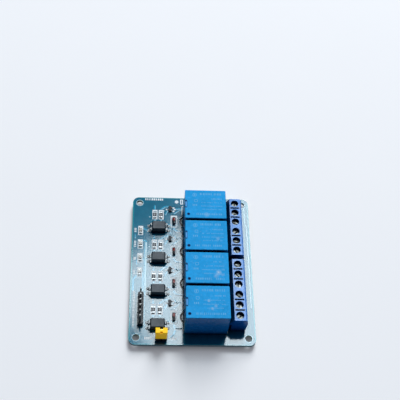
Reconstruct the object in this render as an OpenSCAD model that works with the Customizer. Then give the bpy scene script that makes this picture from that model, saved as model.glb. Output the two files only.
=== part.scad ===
// Relay module board: four sealed relays with their driver channels, four screw-terminal blocks,
// a control header and a supply jumper on one printed circuit board.
// X runs from the control side to the terminal side, Y from front to rear, Z up.
// The origin lies under the board's centre, on the surface that the solder tails stand on.

/* [Board] */
// Width of the board along X
board_w = 55.4; // [54.6:0.1:64]
// Length of the board along Y
board_l = 75.8; // [74:0.1:90]
// Thickness of the board
board_t = 1.6; // [0.8:0.1:2.4]
// Radius of the board's corners
corner_r = 3; // [1:0.1:4]
// Diameter of each mounting hole
mount_hole_d = 3.1; // [2.2:0.1:3.4]
// Distance from the board's edges to the centre of a mounting hole
mount_inset = 3.25; // [2.6:0.05:3.6]
// Height of the board's underside above the surface it stands on
stand_height = 2; // [1.5:0.1:3]

/* [Relays] */
// Distance between the centres of neighbouring channels
channel_pitch = 16.5; // [16.2:0.1:17.4]
// Distance from the board's centre to the centre of the row of channels, along Y
channel_shift = -0.25; // [-0.8:0.05:0.8]
// Distance from the board's left edge to the relays' left faces
relay_setback = 24.05; // [23.8:0.05:25]
// Length of a relay case along X
relay_l = 18.85; // [18.2:0.05:19.4]
// Width of a relay case along Y
relay_w = 15.3; // [14.8:0.05:15.8]
// Height of a relay case
relay_h = 15.4; // [12:0.1:20]
// Height of the feet that hold a relay off the board
relay_foot_h = 0.3; // [0.2:0.05:0.8]
// Radius of the upright edges of a relay case
relay_corner_r = 0.6; // [0.3:0.05:1.2]
// Radius of the top edges of a relay case
relay_edge_r = 0.3; // [0.15:0.05:0.6]
// Wall of a relay case round its base plate
relay_wall = 0.8; // [0.5:0.05:1.1]
// Thickness of a relay's base plate
relay_base_t = 1.5; // [1:0.1:3]
// Diameter of a relay's contact pins
contact_pin_d = 1; // [0.7:0.05:1.2]
// Diameter of a relay's coil pins
coil_pin_d = 0.7; // [0.5:0.05:0.9]
// Distance from a relay's left face to its common pin
common_inset = 1.6; // [1.5:0.05:2.4]
// Distance from the common pin to the coil pins along X
coil_dx = 2; // [1.4:0.05:2.4]
// Distance from the common pin to the switched contact pins along X
contact_dx = 14.2; // [12:0.1:14.8]
// Distance of the outer pins from a relay's centre line
pin_dy = 6; // [5:0.05:6.4]
// Radius of the milled slot round a common pin, at its centre line
slot_r = 3; // [2.6:0.05:3.2]
// Width of the milled slot
slot_w = 0.9; // [0.5:0.05:1.2]
// Half the angle over which the milled slot stays open to the trace
slot_open_angle = 50; // [35:1:70]

/* [Screw terminals] */
// Distance between neighbouring poles
pole_pitch = 5; // [4.9:0.02:5.2]
// Gap between the relays and the terminal blocks
terminal_gap = 0.4; // [0.3:0.05:1]
// Gap between the two pairs of blocks
group_gap = 2.25; // [1.2:0.05:3]
// Distance from the board's centre to the centre of the terminal row, along Y
terminal_shift = 0.3; // [-0.6:0.05:0.8]
// Height of a terminal block
terminal_h = 10; // [9.6:0.1:12]
// Depth of a terminal block at its foot
terminal_d = 7.4; // [7.2:0.05:8]
// Height at which the rear shoulder starts to slope
shoulder_h = 6.6; // [6.5:0.05:7.5]
// How far the rear shoulder slopes inwards
shoulder_in = 1.9; // [1.2:0.05:2.1]
// Width of the flat top
top_flat = 4.85; // [4.4:0.05:5]
// Diameter of a screw well
well_d = 3.5; // [3.3:0.05:3.7]
// Depth of the screw heads below the flat top
screw_depth = 1.9; // [0.8:0.1:2]
// Diameter of a clamp screw's shank
shank_d = 2.4; // [1.8:0.05:2.4]
// Thickness of a terminal contact strip
strip_t = 0.7; // [0.5:0.05:0.8]
// Width of a terminal contact strip
strip_w = 2; // [1.4:0.05:2.1]
// Wall of a clamp cage
cage_wall = 0.7; // [0.5:0.05:0.75]
// Width of a wire entry
entry_w = 3; // [2.2:0.05:3.2]

/* [Headers and jumper] */
// Pitch of the pin headers
header_pitch = 2.54; // [2.5:0.01:2.6]
// Height of a header's plastic base
header_h = 2.54; // [2:0.02:3]
// Side of a square header pin
pin_side = 0.64; // [0.5:0.02:0.7]
// Height of the header pins above their base
header_pin_h = 6; // [5:0.1:8]
// Length of a header's solder tails below the board's top face
header_tail = 3; // [2.6:0.1:3.5]
// Distance from the board's left edge to the control header's pins
header_inset = 4.9; // [4.6:0.05:5.2]
// Distance from the board's front edge to the control header's first pin
header_front = 9.9; // [9:0.1:12]
// Distance from the board's left edge to the jumper's centre
jumper_setback = 14.1; // [11:0.1:16]
// Distance from the board's front edge to the jumper's pins
jumper_front = 2.85; // [2:0.05:3.2]
// Height of the jumper cap
cap_h = 6; // [5.4:0.1:7]
// Wall of the jumper cap
cap_wall = 0.45; // [0.35:0.05:0.55]

/* [Channel parts] */
// Distance from the relays' left faces to an optocoupler's centre
opto_setback = 11.6; // [11.4:0.05:12]
// Distance from a channel's centre line forward to its optocoupler's centre
opto_forward = 4.05; // [3.6:0.05:4.3]
// Length of an optocoupler's body along X
opto_l = 6.5; // [6:0.05:6.8]
// Width of an optocoupler's body along Y
opto_w = 4.6; // [4.2:0.05:5]
// Height of an optocoupler
opto_h = 3.5; // [2:0.05:4]
// Span over the tips of an optocoupler's leads
opto_span = 10; // [9.4:0.05:10.3]
// Length of a chip resistor
chip_l = 3; // [2:0.05:3.2]
// Width of a chip resistor
chip_w = 1.5; // [1.2:0.05:1.7]
// Height of a chip resistor
chip_h = 0.6; // [0.4:0.05:0.8]
// Distance between the two resistors of a channel
resistor_spacing = 2.95; // [2.6:0.05:3.3]
// Gap between an optocoupler and the resistors behind it
resistor_gap = 3.6; // [3:0.05:4]
// Distance from the relays' left faces to a transistor's centre
transistor_setback = 6.3; // [6.1:0.05:6.5]
// Distance from a channel's centre line back to its transistor's centre
transistor_back = 6.7; // [6.3:0.05:7]
// Length of a transistor's body
transistor_l = 2.9; // [2.6:0.05:3.1]
// Width of a transistor's body
transistor_w = 1.3; // [1.1:0.05:1.5]
// Height of a transistor
transistor_h = 1; // [0.8:0.05:1.3]
// Distance from the relays' left faces to a diode's axis
diode_setback = 4.45; // [4.2:0.05:4.7]
// Length of a glass diode
diode_l = 3.5; // [3.2:0.05:3.8]
// Diameter of a glass diode's end caps
diode_d = 1.5; // [1.3:0.05:1.7]
// Distance from the board's left edge to the indicator lamps
led_inset = 4.1; // [3.4:0.05:4.6]
// Distance from the board's rear edge to the first indicator lamp
led_rear = 18.6; // [17:0.1:20]
// Distance between neighbouring indicator lamps
led_pitch = 7.35; // [6:0.05:7.6]

/* [Hidden] */
$fn = 48;

// Clearances and small allowances
fit = 0.05;            // round a part that is pressed or moulded into another
hole_fit = 0.15;       // between a solder tail and the wall of its hole
slide_fit = 0.15;      // between a clamp cage and its chamber
cut = 0.1;             // how far a cutting shape reaches past a face
contact_rest = 0.02;   // between surface-mounted parts and the board

// Levels and edges
deck = stand_height + board_t;
left_edge = -board_w / 2;
front_edge = -board_l / 2;
channels = [1:4];
poles = 3;
blocks = 4;

// Relay places
relay_x0 = left_edge + relay_setback;
relay_x1 = relay_x0 + relay_l;
relay_x = (relay_x0 + relay_x1) / 2;
relay_z0 = deck + relay_foot_h;
common_x = relay_x0 + common_inset;
relay_pin_list = [
    [common_x, 0, contact_pin_d],
    [common_x + coil_dx, pin_dy, coil_pin_d],
    [common_x + coil_dx, -pin_dy, coil_pin_d],
    [common_x + contact_dx, pin_dy, contact_pin_d],
    [common_x + contact_dx, -pin_dy, contact_pin_d]
];
notch_l = 4.2;         // recess in the middle of a case's left top edge
notch_w = 0.85;
notch_h = 0.5;
vent_d = 1;            // vent mark near a case's front left corner
vent_inset = 1.6;
vent_h = 0.5;
foot_d = 1.4;          // feet under a relay's base plate
foot_dy = 4.6;
pin_chamfer = 0.15;    // at the tips of a relay's pins

// Terminal places, from the rear face of a block
terminal_x0 = relay_x1 + terminal_gap;
block_l = poles * pole_pitch;
screw_dx = shoulder_in + top_flat / 2;
front_bulge = 0.5;     // how far the wire side stands out at its fullest
bulge_h = 6;
chamfer_h = 1;
chamber_w = 3.9;
chamber_x0 = 1.3;
cage_w = chamber_w - 2 * slide_fit;
cage_l = 3.4;
cage_x0 = screw_dx - cage_l / 2;
cage_x1 = cage_x0 + cage_l;
chamber_x1 = cage_x1 + slide_fit;
cage_z0 = strip_t + slide_fit;
tongue_z0 = 4;
tongue_z1 = tongue_z0 + strip_t;
cage_roof = 1.1;
cage_z1 = tongue_z1 + slide_fit + cage_roof;
head_z0 = cage_z1 + 0.3;
chamber_h = cage_z1 + 0.2;
head_z1 = terminal_h - screw_depth;
head_d = well_d - 0.2;
driver_w = 0.6;        // screwdriver slot
driver_h = 0.8;
gutter_w = 0.8;        // slot between two poles in the flat top
gutter_h = 1.2;
gutter_margin = 0.35;
entry_z0 = 1.2;
entry_z1 = tongue_z0;
entry_rim = 0.4;       // shallow recess round a wire entry
key_w = 0.7;           // interlocking key at the rear corner
key_d = 0.6;
key_flare = 0.12;
key_h = 5.5;
tail_w = 1;            // terminal solder tail
tail_t = 0.8;
tail_dx = chamber_x0 + 2.5;
shank_chamfer = 0.2;
head_chamfer = [0.35, 0.25];
slot_turn = 47;        // degrees from one screw's slot to the next, as tightened by hand
slot_turn_0 = 20;

// Header places
header_x = left_edge + header_inset;
header_y = front_edge + header_front;
header_poles = 6;
header_chamfer = 0.45;
jumper_x = left_edge + jumper_setback;
jumper_y = front_edge + jumper_front;
jumper_poles = 2;
pin_taper = 0.35;
cap_l = jumper_poles * header_pitch;
cap_w = header_pitch;
cap_gap = 0.1;         // between a header's base and the cap on its pins
cap_z0 = deck + header_h + cap_gap;
cap_roof = 0.5;
cap_corner_r = 0.25;
cap_edge_r = 0.2;
cap_notch = [1.4, 0.95, 1.6];    // notch in the rear of the cap's top
cap_window = [1.2, 0.7, 0.9];    // window in the front of the cap's top
jumper_pin_h = cap_h - cap_roof; // pins above the jumper's base
clip_t = 0.25;
clip_end = 0.1;        // how far the clip reaches past its outer pins
clip_bridge_w = 1;
clip_bridge_h = 1.2;
clip_rise = 0.6;       // clip's lower edge above the cap's mouth
clip_top_gap = 0.02;   // between the clip and the roof of the cap

// Channel part places
opto_x = relay_x0 - opto_setback;
opto_end_draft = 0.55; // how far the ends slope in above the parting line
opto_side_draft = 0.35;
opto_foot_draft = 0.2; // below the parting line, all round
opto_part_z = 1.9;
dimple_d = 0.9;        // mark beside an optocoupler's first lead
dimple_h = 0.1;
dimple_inset = 1.15;
lead_t = 0.25;
lead_w = 0.6;
lead_foot = 0.8;
lead_shoulder_w = 1.2;
lead_shoulder_l = 0.45;
lead_pitch = 2.54;
resistor_shift = 0.5;  // resistors' middle, to the left of the optocoupler's
resistor_back = opto_w / 2 - opto_forward + resistor_gap + chip_l / 2;
chip_cap_l = 0.5;
chip_wrap = 0.01;      // plating of a resistor's ends, over and under the body
transistor_x = relay_x0 - transistor_setback;
transistor_span = 2.4;
transistor_lead_w = 0.42;
transistor_lead_t = 0.14;
transistor_lead_dy = 0.95;
transistor_foot = 0.3;
transistor_draft = 0.12;
transistor_z0 = 0.08;  // underside of a transistor above the board
diode_x = relay_x0 - diode_setback;
diode_cap_l = 0.4;
diode_rim = 0.12;      // glass inside the caps' outline, and the caps' chamfer
led_x = left_edge + led_inset;
led_base_h = 0.45;
lens_l = 1.9;
lens_h = 0.55;
lens_edge = 0.05;      // upright rim of a lens, and its margin on the base
lens_draft = 0.15;

// Solder pads, beyond the tails they hold
relay_pad = 0.8;
terminal_pad_r = 1.35;
header_pad_r = 0.85;
fillet_tail_r = 0.25;  // top of a fillet round a square tail
fillet_edge = 0.06;    // thickness of a fillet at its rim
fillet_lip = 0.12;     // flat ring left at a fillet's top
fillet_h = 1.1;
small_fillet_h = 0.8;

function channel_y(n) = channel_shift + (2.5 - n) * channel_pitch;
function block_y(n) = terminal_shift
    + (n <= 2 ? 1 : -1) * group_gap / 2
    + (2.5 - n) * block_l;
function pole_y(n, p) = block_y(n) + (p - (poles - 1) / 2) * pole_pitch;
function led_y(n) = board_l / 2 - led_rear - (n - 1) * led_pitch;

// ---------------------------------------------------------------- shared shapes

// Rectangle with round corners, centred
module rounded_plan(l, w, r) {
    square([l - 2 * r, w], center = true);
    square([l, w - 2 * r], center = true);
    for (sx = [-1, 1], sy = [-1, 1])
        translate([sx * (l / 2 - r), sy * (w / 2 - r)]) circle(r);
}

// Upright outline whose two upper corners are round
module crowned_outline(l, h, r) {
    translate([-l / 2, 0]) square([l, h - r]);
    translate([-l / 2 + r, 0]) square([l - 2 * r, h]);
    for (s = [-1, 1]) translate([s * (l / 2 - r), h - r]) circle(r);
}

// Block with round upright edges and round top edges
module moulded_block(l, w, h, plan_r, top_r) {
    intersection() {
        linear_extrude(h) rounded_plan(l, w, plan_r);
        rotate([90, 0, 0]) linear_extrude(w + 2 * cut, center = true) crowned_outline(l, h, top_r);
        rotate([90, 0, 90]) linear_extrude(l + 2 * cut, center = true) crowned_outline(w, h, top_r);
    }
}

// Block whose four sides slope inwards above and below a parting line.
// The drafts are those of the ends, of the long sides and of all sides below the line.
module drafted_block(l, w, z0, zp, z1, end_draft, side_draft, foot_draft) {
    intersection() {
        rotate([90, 0, 0]) linear_extrude(w + 2 * cut, center = true)
            drafted_outline(l, z0, zp, z1, end_draft, foot_draft);
        rotate([90, 0, 90]) linear_extrude(l + 2 * cut, center = true)
            drafted_outline(w, z0, zp, z1, side_draft, foot_draft);
    }
}

module drafted_outline(l, z0, zp, z1, draft, foot_draft) {
    h = l / 2;
    polygon([
        [-h + foot_draft, z0], [h - foot_draft, z0], [h, zp],
        [h - draft, z1], [-h + draft, z1], [-h, zp]
    ]);
}

// Square pin with tapered ends, from z0 to z1
module square_pin(side, z0, z1) {
    intersection() {
        rotate([90, 0, 0]) linear_extrude(side, center = true) tapered_outline(side, z0, z1);
        rotate([90, 0, 90]) linear_extrude(side, center = true) tapered_outline(side, z0, z1);
    }
}

module tapered_outline(side, z0, z1) {
    s = side / 2;
    polygon([
        [-s / 2, z0], [s / 2, z0], [s, z0 + pin_taper], [s, z1 - pin_taper],
        [s / 2, z1], [-s / 2, z1], [-s, z1 - pin_taper], [-s, z0 + pin_taper]
    ]);
}

// Solder fillet below the board: a cone with hollow flanks round a tail
module solder_fillet(pad_r, tail_r, h) {
    steps = 4;
    flank = [for (i = [0:steps])
        let (a = 90 * i / steps)
        [pad_r - (pad_r - tail_r - fillet_lip) * sin(a), -h * (1 - cos(a)) - fillet_edge]];
    translate([0, 0, stand_height]) rotate_extrude($fn = 32)
        polygon(concat([[tail_r, 0], [pad_r, 0]], flank, [[tail_r, -h - fillet_edge]]));
}

// ---------------------------------------------------------------- circuit board

module circuit_board() {
    color("#1c6f8c") difference() {
        translate([0, 0, stand_height]) linear_extrude(board_t) rounded_plan(board_w, board_l, corner_r);
        for (sx = [-1, 1], sy = [-1, 1])
            drill([sx * (board_w / 2 - mount_inset), sy * (board_l / 2 - mount_inset)], mount_hole_d);
        for (n = channels) translate([0, channel_y(n), 0]) {
            for (pin = relay_pin_list) drill([pin[0], pin[1]], pin[2] + 2 * hole_fit);
            isolation_slot();
        }
        for (n = [1:blocks], p = [0:poles - 1])
            drill([terminal_x0 + tail_dx, pole_y(n, p)], norm([tail_w, tail_t]) + hole_fit);
        for (i = [0:header_poles - 1])
            drill([header_x, header_y + i * header_pitch], pin_side * sqrt(2) + hole_fit);
        for (i = [0:jumper_poles - 1])
            drill([jumper_pin_x(i), jumper_y], pin_side * sqrt(2) + hole_fit);
    }
}

module drill(place, d) {
    translate([place[0], place[1], stand_height - cut]) cylinder(d = d, h = board_t + 2 * cut);
}

// C-shaped slot that keeps the mains side of a common pin apart
module isolation_slot() {
    translate([common_x, 0, stand_height - cut]) {
        rotate([0, 0, slot_open_angle])
            rotate_extrude(angle = 360 - 2 * slot_open_angle)
                translate([slot_r - slot_w / 2, 0]) square([slot_w, board_t + 2 * cut]);
        for (s = [-1, 1])
            rotate([0, 0, s * slot_open_angle])
                translate([slot_r, 0, 0]) cylinder(d = slot_w, h = board_t + 2 * cut);
    }
}

// ---------------------------------------------------------------- relays

module relay_case(n) {
    color("#2f93d8") translate([relay_x, channel_y(n), relay_z0]) difference() {
        moulded_block(relay_l, relay_w, relay_h, relay_corner_r, relay_edge_r);
        // pocket for the base plate
        translate([0, 0, -cut])
            linear_extrude(relay_base_t + cut)
                rounded_plan(relay_l - 2 * relay_wall, relay_w - 2 * relay_wall, relay_corner_r / 2);
        // recess in the left top edge
        translate([-relay_l / 2 - cut, -notch_l / 2, relay_h - notch_h])
            cube([notch_w + cut, notch_l, notch_h + cut]);
        // vent mark
        translate([vent_inset - relay_l / 2, vent_inset + vent_d / 2 - relay_w / 2, relay_h - vent_h])
            cylinder(d = vent_d, h = vent_h + cut);
    }
}

module relay_base(n) {
    l = relay_l - 2 * relay_wall - 2 * fit;
    w = relay_w - 2 * relay_wall - 2 * fit;
    color("#16202c") translate([0, channel_y(n), 0]) difference() {
        union() {
            translate([relay_x, 0, relay_z0])
                linear_extrude(relay_base_t) rounded_plan(l, w, relay_corner_r / 2);
            for (sx = [-1, 1], sy = [-1, 1])
                translate([relay_x + sx * (l - foot_d) / 2, sy * foot_dy, deck])
                    cylinder(d = foot_d, h = relay_foot_h + cut);
        }
        for (pin = relay_pin_list)
            translate([pin[0], pin[1], deck - cut])
                cylinder(d = pin[2] + 2 * fit, h = relay_foot_h + relay_base_t + 2 * cut);
    }
}

module relay_pins(n) {
    color("#c9cdd2") for (pin = relay_pin_list)
        translate([pin[0], channel_y(n) + pin[1], 0])
            rotate_extrude($fn = 32) polygon([
                [0, 0], [pin[2] / 2 - pin_chamfer, 0], [pin[2] / 2, pin_chamfer],
                [pin[2] / 2, relay_z0 + relay_base_t], [0, relay_z0 + relay_base_t]
            ]);
}

// ---------------------------------------------------------------- screw terminals

// Side outline of a terminal block, rear face at x = 0
module terminal_outline() {
    polygon([
        [0, 0], [0, shoulder_h], [shoulder_in, terminal_h],
        [shoulder_in + top_flat, terminal_h],
        [terminal_d + front_bulge / 4, terminal_h - chamfer_h],
        [terminal_d + front_bulge, bulge_h], [terminal_d, 0]
    ]);
}

// Key that locks one block into the next, grown by a margin
module block_key(margin) {
    translate([0, -cut, -margin]) linear_extrude(key_h + 2 * margin) polygon([
        [0.2 - margin, 0], [0.2 + key_w + margin, 0],
        [0.2 + key_w + key_flare + margin, key_d + cut + margin],
        [0.2 - key_flare - margin, key_d + cut + margin]
    ]);
}

module terminal_housing(n) {
    color("#173f9c") translate([terminal_x0, block_y(n), deck]) difference() {
        union() {
            rotate([90, 0, 0]) linear_extrude(block_l, center = true) terminal_outline();
            translate([0, block_l / 2, 0]) block_key(0);
        }
        translate([0, -block_l / 2, 0]) block_key(fit);
        for (p = [0:poles - 1]) translate([0, (p - (poles - 1) / 2) * pole_pitch, 0]) pole_hollow();
        for (p = [1:poles - 1]) translate([0, (p - poles / 2) * pole_pitch, 0]) pole_gutter();
    }
}

// Chamber, screw well and wire entry of one pole
module pole_hollow() {
    translate([chamber_x0, -chamber_w / 2, -cut])
        cube([chamber_x1 - chamber_x0, chamber_w, chamber_h + cut]);
    translate([screw_dx, 0, chamber_h - cut]) cylinder(d = well_d, h = terminal_h - chamber_h + 2 * cut);
    wire_arch(entry_w, entry_z0, entry_z1, chamber_x1 - cut, terminal_d + front_bulge + cut);
    wire_arch(entry_w + 2 * entry_rim, entry_z0 - entry_rim, entry_z1 + entry_rim,
        terminal_d - entry_rim, terminal_d + front_bulge + cut);
}

// Opening with a round top, w wide from z0 to z1, between x0 and x1
module wire_arch(w, z0, z1, x0, x1) {
    translate([x0, 0, 0]) {
        translate([0, -w / 2, z0]) cube([x1 - x0, w, z1 - z0 - w / 4]);
        translate([0, 0, z1 - w / 2 - w / 4]) intersection() {
            translate([0, 0, w / 4]) rotate([0, 90, 0]) cylinder(d = w, h = x1 - x0);
            translate([0, -w / 2, 0]) cube([x1 - x0, w, w]);
        }
    }
}

// Slot in the flat top between two poles
module pole_gutter() {
    translate([shoulder_in + gutter_margin, -gutter_w / 2, terminal_h - gutter_h])
        cube([top_flat - 2 * gutter_margin, gutter_w, gutter_h + cut]);
}

// Contact strip: solder tail, foot, rear leg and the tongue that the screw bears on
module terminal_contacts(n) {
    color("#d8c27a") for (p = [0:poles - 1])
        translate([terminal_x0, pole_y(n, p), deck]) {
            leg_x = chamber_x0 + fit;
            translate([leg_x, strip_w / 2, 0]) rotate([90, 0, 0]) linear_extrude(strip_w) polygon([
                [0, 0], [tail_dx + tail_w / 2 - leg_x, 0], [tail_dx + tail_w / 2 - leg_x, strip_t],
                [strip_t, strip_t], [strip_t, tongue_z0],
                [cage_x1 - leg_x, tongue_z0], [cage_x1 - leg_x, tongue_z1], [0, tongue_z1]
            ]);
            translate([tail_dx - tail_w / 2, -tail_t / 2, -deck]) cube([tail_w, tail_t, deck + cut]);
        }
}

module clamp_cages(n) {
    color("#b9bec4") for (p = [0:poles - 1])
        translate([terminal_x0, pole_y(n, p), deck]) difference() {
            translate([cage_x0, -cage_w / 2, cage_z0]) cube([cage_l, cage_w, cage_z1 - cage_z0]);
            translate([cage_x0 - cut, -cage_w / 2 + cage_wall, cage_z0 + cage_wall])
                cube([cage_l + 2 * cut, cage_w - 2 * cage_wall, cage_z1 - cage_roof - cage_z0 - cage_wall]);
            translate([screw_dx, 0, cage_z1 - cage_roof - cut])
                cylinder(d = shank_d + 2 * fit, h = cage_roof + 2 * cut);
        }
}

module clamp_screws(n) {
    color("#d5d8dc") for (p = [0:poles - 1])
        translate([terminal_x0 + screw_dx, pole_y(n, p), deck]) difference() {
            rotate_extrude() polygon([
                [0, tongue_z1], [shank_d / 2 - shank_chamfer, tongue_z1],
                [shank_d / 2, tongue_z1 + shank_chamfer],
                [shank_d / 2, head_z0], [head_d / 2, head_z0],
                [head_d / 2, head_z1 - head_chamfer[1]],
                [head_d / 2 - head_chamfer[0], head_z1], [0, head_z1]
            ]);
            rotate([0, 0, slot_turn_0 + slot_turn * (p + poles * n)])
                translate([-head_d / 2 - cut, -driver_w / 2, head_z1 - driver_h])
                    cube([head_d + 2 * cut, driver_w, driver_h + cut]);
        }
}

// ---------------------------------------------------------------- channel parts

module optocoupler(n) {
    color("#22242a") translate([opto_x, channel_y(n) - opto_forward, deck]) difference() {
        drafted_block(opto_l, opto_w, lead_t / 2, opto_part_z, opto_h,
            opto_end_draft, opto_side_draft, opto_foot_draft);
        translate([dimple_inset - opto_l / 2, opto_w / 2 - dimple_inset, opto_h - dimple_h])
            cylinder(d = dimple_d, h = dimple_h + cut);
    }
}

// Bent lead on the +X side: shoulder, drop and foot
module gull_wing(x0, x1, z1, t, w, foot) {
    translate([0, w / 2, 0]) rotate([90, 0, 0]) linear_extrude(w) polygon([
        [x0, z1 - t / 2], [x1 - foot - 1.4 * t, z1 - t / 2], [x1 - foot - t, t + contact_rest],
        [x1 - foot, contact_rest], [x1, contact_rest], [x1, t + contact_rest],
        [x1 - foot + 0.3 * t, t + contact_rest], [x1 - foot - 0.6 * t, z1 + t / 2], [x0, z1 + t / 2]
    ]);
}

module optocoupler_leads(n) {
    color("#c9cdd2") translate([opto_x, channel_y(n) - opto_forward, deck])
        for (a = [0, 180], s = [-1, 1]) rotate([0, 0, a]) translate([0, s * lead_pitch / 2, 0]) {
            gull_wing(opto_l / 2, opto_span / 2, opto_part_z, lead_t, lead_w, lead_foot);
            translate([opto_l / 2, -lead_shoulder_w / 2, opto_part_z - lead_t / 2])
                cube([lead_shoulder_l, lead_shoulder_w, lead_t]);
        }
}

// Places of the eight chip resistors
module at_resistors() {
    for (n = channels, s = [-1, 1])
        translate([
            opto_x - resistor_shift + s * resistor_spacing / 2,
            channel_y(n) + resistor_back,
            deck + contact_rest
        ]) children();
}

module chip_resistors() {
    color("#1d1f24") at_resistors()
        translate([-chip_w / 2, chip_cap_l - chip_l / 2, 0])
            cube([chip_w, chip_l - 2 * chip_cap_l, chip_h]);
}

module resistor_caps() {
    color("#d5d8dc") at_resistors() for (s = [-1, 1])
        translate([0, s * (chip_l - chip_cap_l) / 2, chip_h / 2])
            cube([chip_w, chip_cap_l, chip_h + 2 * chip_wrap], center = true);
}

// Places of the four transistors
module at_transistors() {
    for (n = channels) translate([transistor_x, channel_y(n) + transistor_back, deck]) children();
}

module transistors() {
    color("#22242a") at_transistors()
        drafted_block(transistor_w, transistor_l, transistor_z0,
            transistor_h / 2, transistor_h, transistor_draft, transistor_draft, transistor_draft);
}

module transistor_leads() {
    color("#c9cdd2") at_transistors() {
        for (s = [-1, 1]) translate([0, s * transistor_lead_dy, 0]) transistor_lead();
        rotate([0, 0, 180]) transistor_lead();
    }
}

module transistor_lead() {
    gull_wing(transistor_w / 2, transistor_span / 2, transistor_h / 2,
        transistor_lead_t, transistor_lead_w, transistor_foot);
}

// Places of the four glass diodes, on their axes
module at_diodes() {
    for (n = channels) translate([diode_x, channel_y(n), deck + contact_rest + diode_d / 2])
        rotate([90, 0, 0]) children();
}

module diode_glasses() {
    color("#a8433a") at_diodes()
        cylinder(d = diode_d - diode_rim, h = diode_l - 2 * diode_cap_l, center = true);
}

module diode_caps() {
    color("#d5d8dc") at_diodes() for (s = [-1, 1])
        translate([0, 0, s * (diode_l - diode_cap_l) / 2])
            rotate([s > 0 ? 0 : 180, 0, 0]) rotate_extrude() polygon([
                [0, -diode_cap_l / 2], [diode_d / 2, -diode_cap_l / 2],
                [diode_d / 2, diode_cap_l / 2 - diode_rim], [diode_d / 2 - diode_rim, diode_cap_l / 2],
                [0, diode_cap_l / 2]
            ]);
}

// Places of the four indicator lamps
module at_leds() {
    for (n = channels) translate([led_x, led_y(n), deck + contact_rest]) children();
}

module indicator_bases() {
    color("#eef0f0") at_leds() translate([-chip_w / 2, chip_cap_l - chip_l / 2, 0])
        cube([chip_w, chip_l - 2 * chip_cap_l, led_base_h]);
}

module indicator_lenses() {
    color("#f4f3e6") at_leds() translate([0, 0, led_base_h])
        drafted_block(chip_w - 2 * lens_edge, lens_l, 0, lens_edge, lens_h,
            lens_draft, lens_draft, lens_draft);
}

module indicator_caps() {
    color("#d9c690") at_leds() for (s = [-1, 1])
        translate([-chip_w / 2, s * (chip_l - chip_cap_l) / 2 - chip_cap_l / 2, 0])
            cube([chip_w, chip_cap_l, led_base_h]);
}

// ---------------------------------------------------------------- headers and jumper

function jumper_pin_x(i) = jumper_x + (i - (jumper_poles - 1) / 2) * header_pitch;

// One pole of a header's base, with its corners cut and a pin hole
module header_pole() {
    c = header_chamfer;
    h = header_pitch / 2;
    difference() {
        linear_extrude(header_h) polygon([
            [-h, -h + c], [-h + c, -h], [h - c, -h], [h, -h + c],
            [h, h - c], [h - c, h], [-h + c, h], [-h, h - c]
        ]);
        translate([0, 0, header_h / 2])
            cube([pin_side + 2 * fit, pin_side + 2 * fit, header_h + 2 * cut], center = true);
    }
}

module control_header() {
    color("#17181c") for (i = [0:header_poles - 1])
        translate([header_x, header_y + i * header_pitch, deck]) header_pole();
}

module control_pins() {
    color("#cfd0cc") for (i = [0:header_poles - 1])
        translate([header_x, header_y + i * header_pitch, 0])
            square_pin(pin_side, deck - header_tail, deck + header_h + header_pin_h);
}

module jumper_header() {
    color("#17181c") for (i = [0:jumper_poles - 1])
        translate([jumper_pin_x(i), jumper_y, deck]) header_pole();
}

module jumper_pins() {
    color("#cfd0cc") for (i = [0:jumper_poles - 1])
        translate([jumper_pin_x(i), jumper_y, 0])
            square_pin(pin_side, deck - header_tail, deck + header_h + jumper_pin_h);
}

module jumper_cap() {
    inner_w = cap_w - 2 * cap_wall;
    color("#f5c400") translate([jumper_x, jumper_y, cap_z0]) difference() {
        moulded_block(cap_l, cap_w, cap_h, cap_corner_r, cap_edge_r);
        // hollow for the clip and the pins
        translate([-cap_l / 2 + cap_wall, -inner_w / 2, -cut])
            cube([cap_l - 2 * cap_wall, inner_w, cap_h - cap_roof + cut]);
        translate([-cap_notch[0] / 2, cap_w / 2 - cap_notch[1], cap_h - cap_notch[2]])
            cube(cap_notch + [0, cut, cut]);
        translate([-cap_window[0] / 2, -cap_w / 2 - cut, cap_h - cap_window[2]])
            cube(cap_window + [0, cut, cut]);
    }
}

// Folded spring strip that bridges the two pins inside the cap
module jumper_clip() {
    reach = (jumper_poles - 1) * header_pitch + pin_side + 2 * clip_end;
    leaf_dy = pin_side / 2 + fit;
    clip_z0 = cap_z0 + clip_rise;
    clip_z1 = cap_z0 + cap_h - cap_roof - clip_top_gap;
    color("#b98d4a") translate([jumper_x, jumper_y, 0]) {
        for (y = [-leaf_dy - clip_t, leaf_dy])
            translate([-reach / 2, y, clip_z0]) cube([reach, clip_t, clip_z1 - clip_z0]);
        translate([-clip_bridge_w / 2, -leaf_dy - clip_t, clip_z1 - clip_bridge_h])
            cube([clip_bridge_w, 2 * (leaf_dy + clip_t), clip_bridge_h]);
    }
}

// ---------------------------------------------------------------- solder

module relay_solder() {
    color("#b4b9be") for (n = channels, pin = relay_pin_list)
        translate([pin[0], channel_y(n) + pin[1], 0])
            solder_fillet(pin[2] / 2 + relay_pad, pin[2] / 2 + fit / 2, fillet_h);
}

module terminal_solder() {
    color("#b4b9be") for (n = [1:blocks], p = [0:poles - 1])
        translate([terminal_x0 + tail_dx, pole_y(n, p), 0]) difference() {
            solder_fillet(terminal_pad_r, fillet_tail_r, fillet_h);
            translate([0, 0, stand_height / 2])
                cube([tail_w + fit, tail_t + fit, stand_height + 2 * cut], center = true);
        }
}

module header_solder() {
    places = concat(
        [for (i = [0:header_poles - 1]) [header_x, header_y + i * header_pitch]],
        [for (i = [0:jumper_poles - 1]) [jumper_pin_x(i), jumper_y]]
    );
    color("#b4b9be") for (place = places) translate([place[0], place[1], 0]) difference() {
        solder_fillet(header_pad_r, fillet_tail_r, small_fillet_h);
        translate([0, 0, stand_height / 2])
            cube([pin_side + fit, pin_side + fit, stand_height + 2 * cut], center = true);
    }
}

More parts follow.
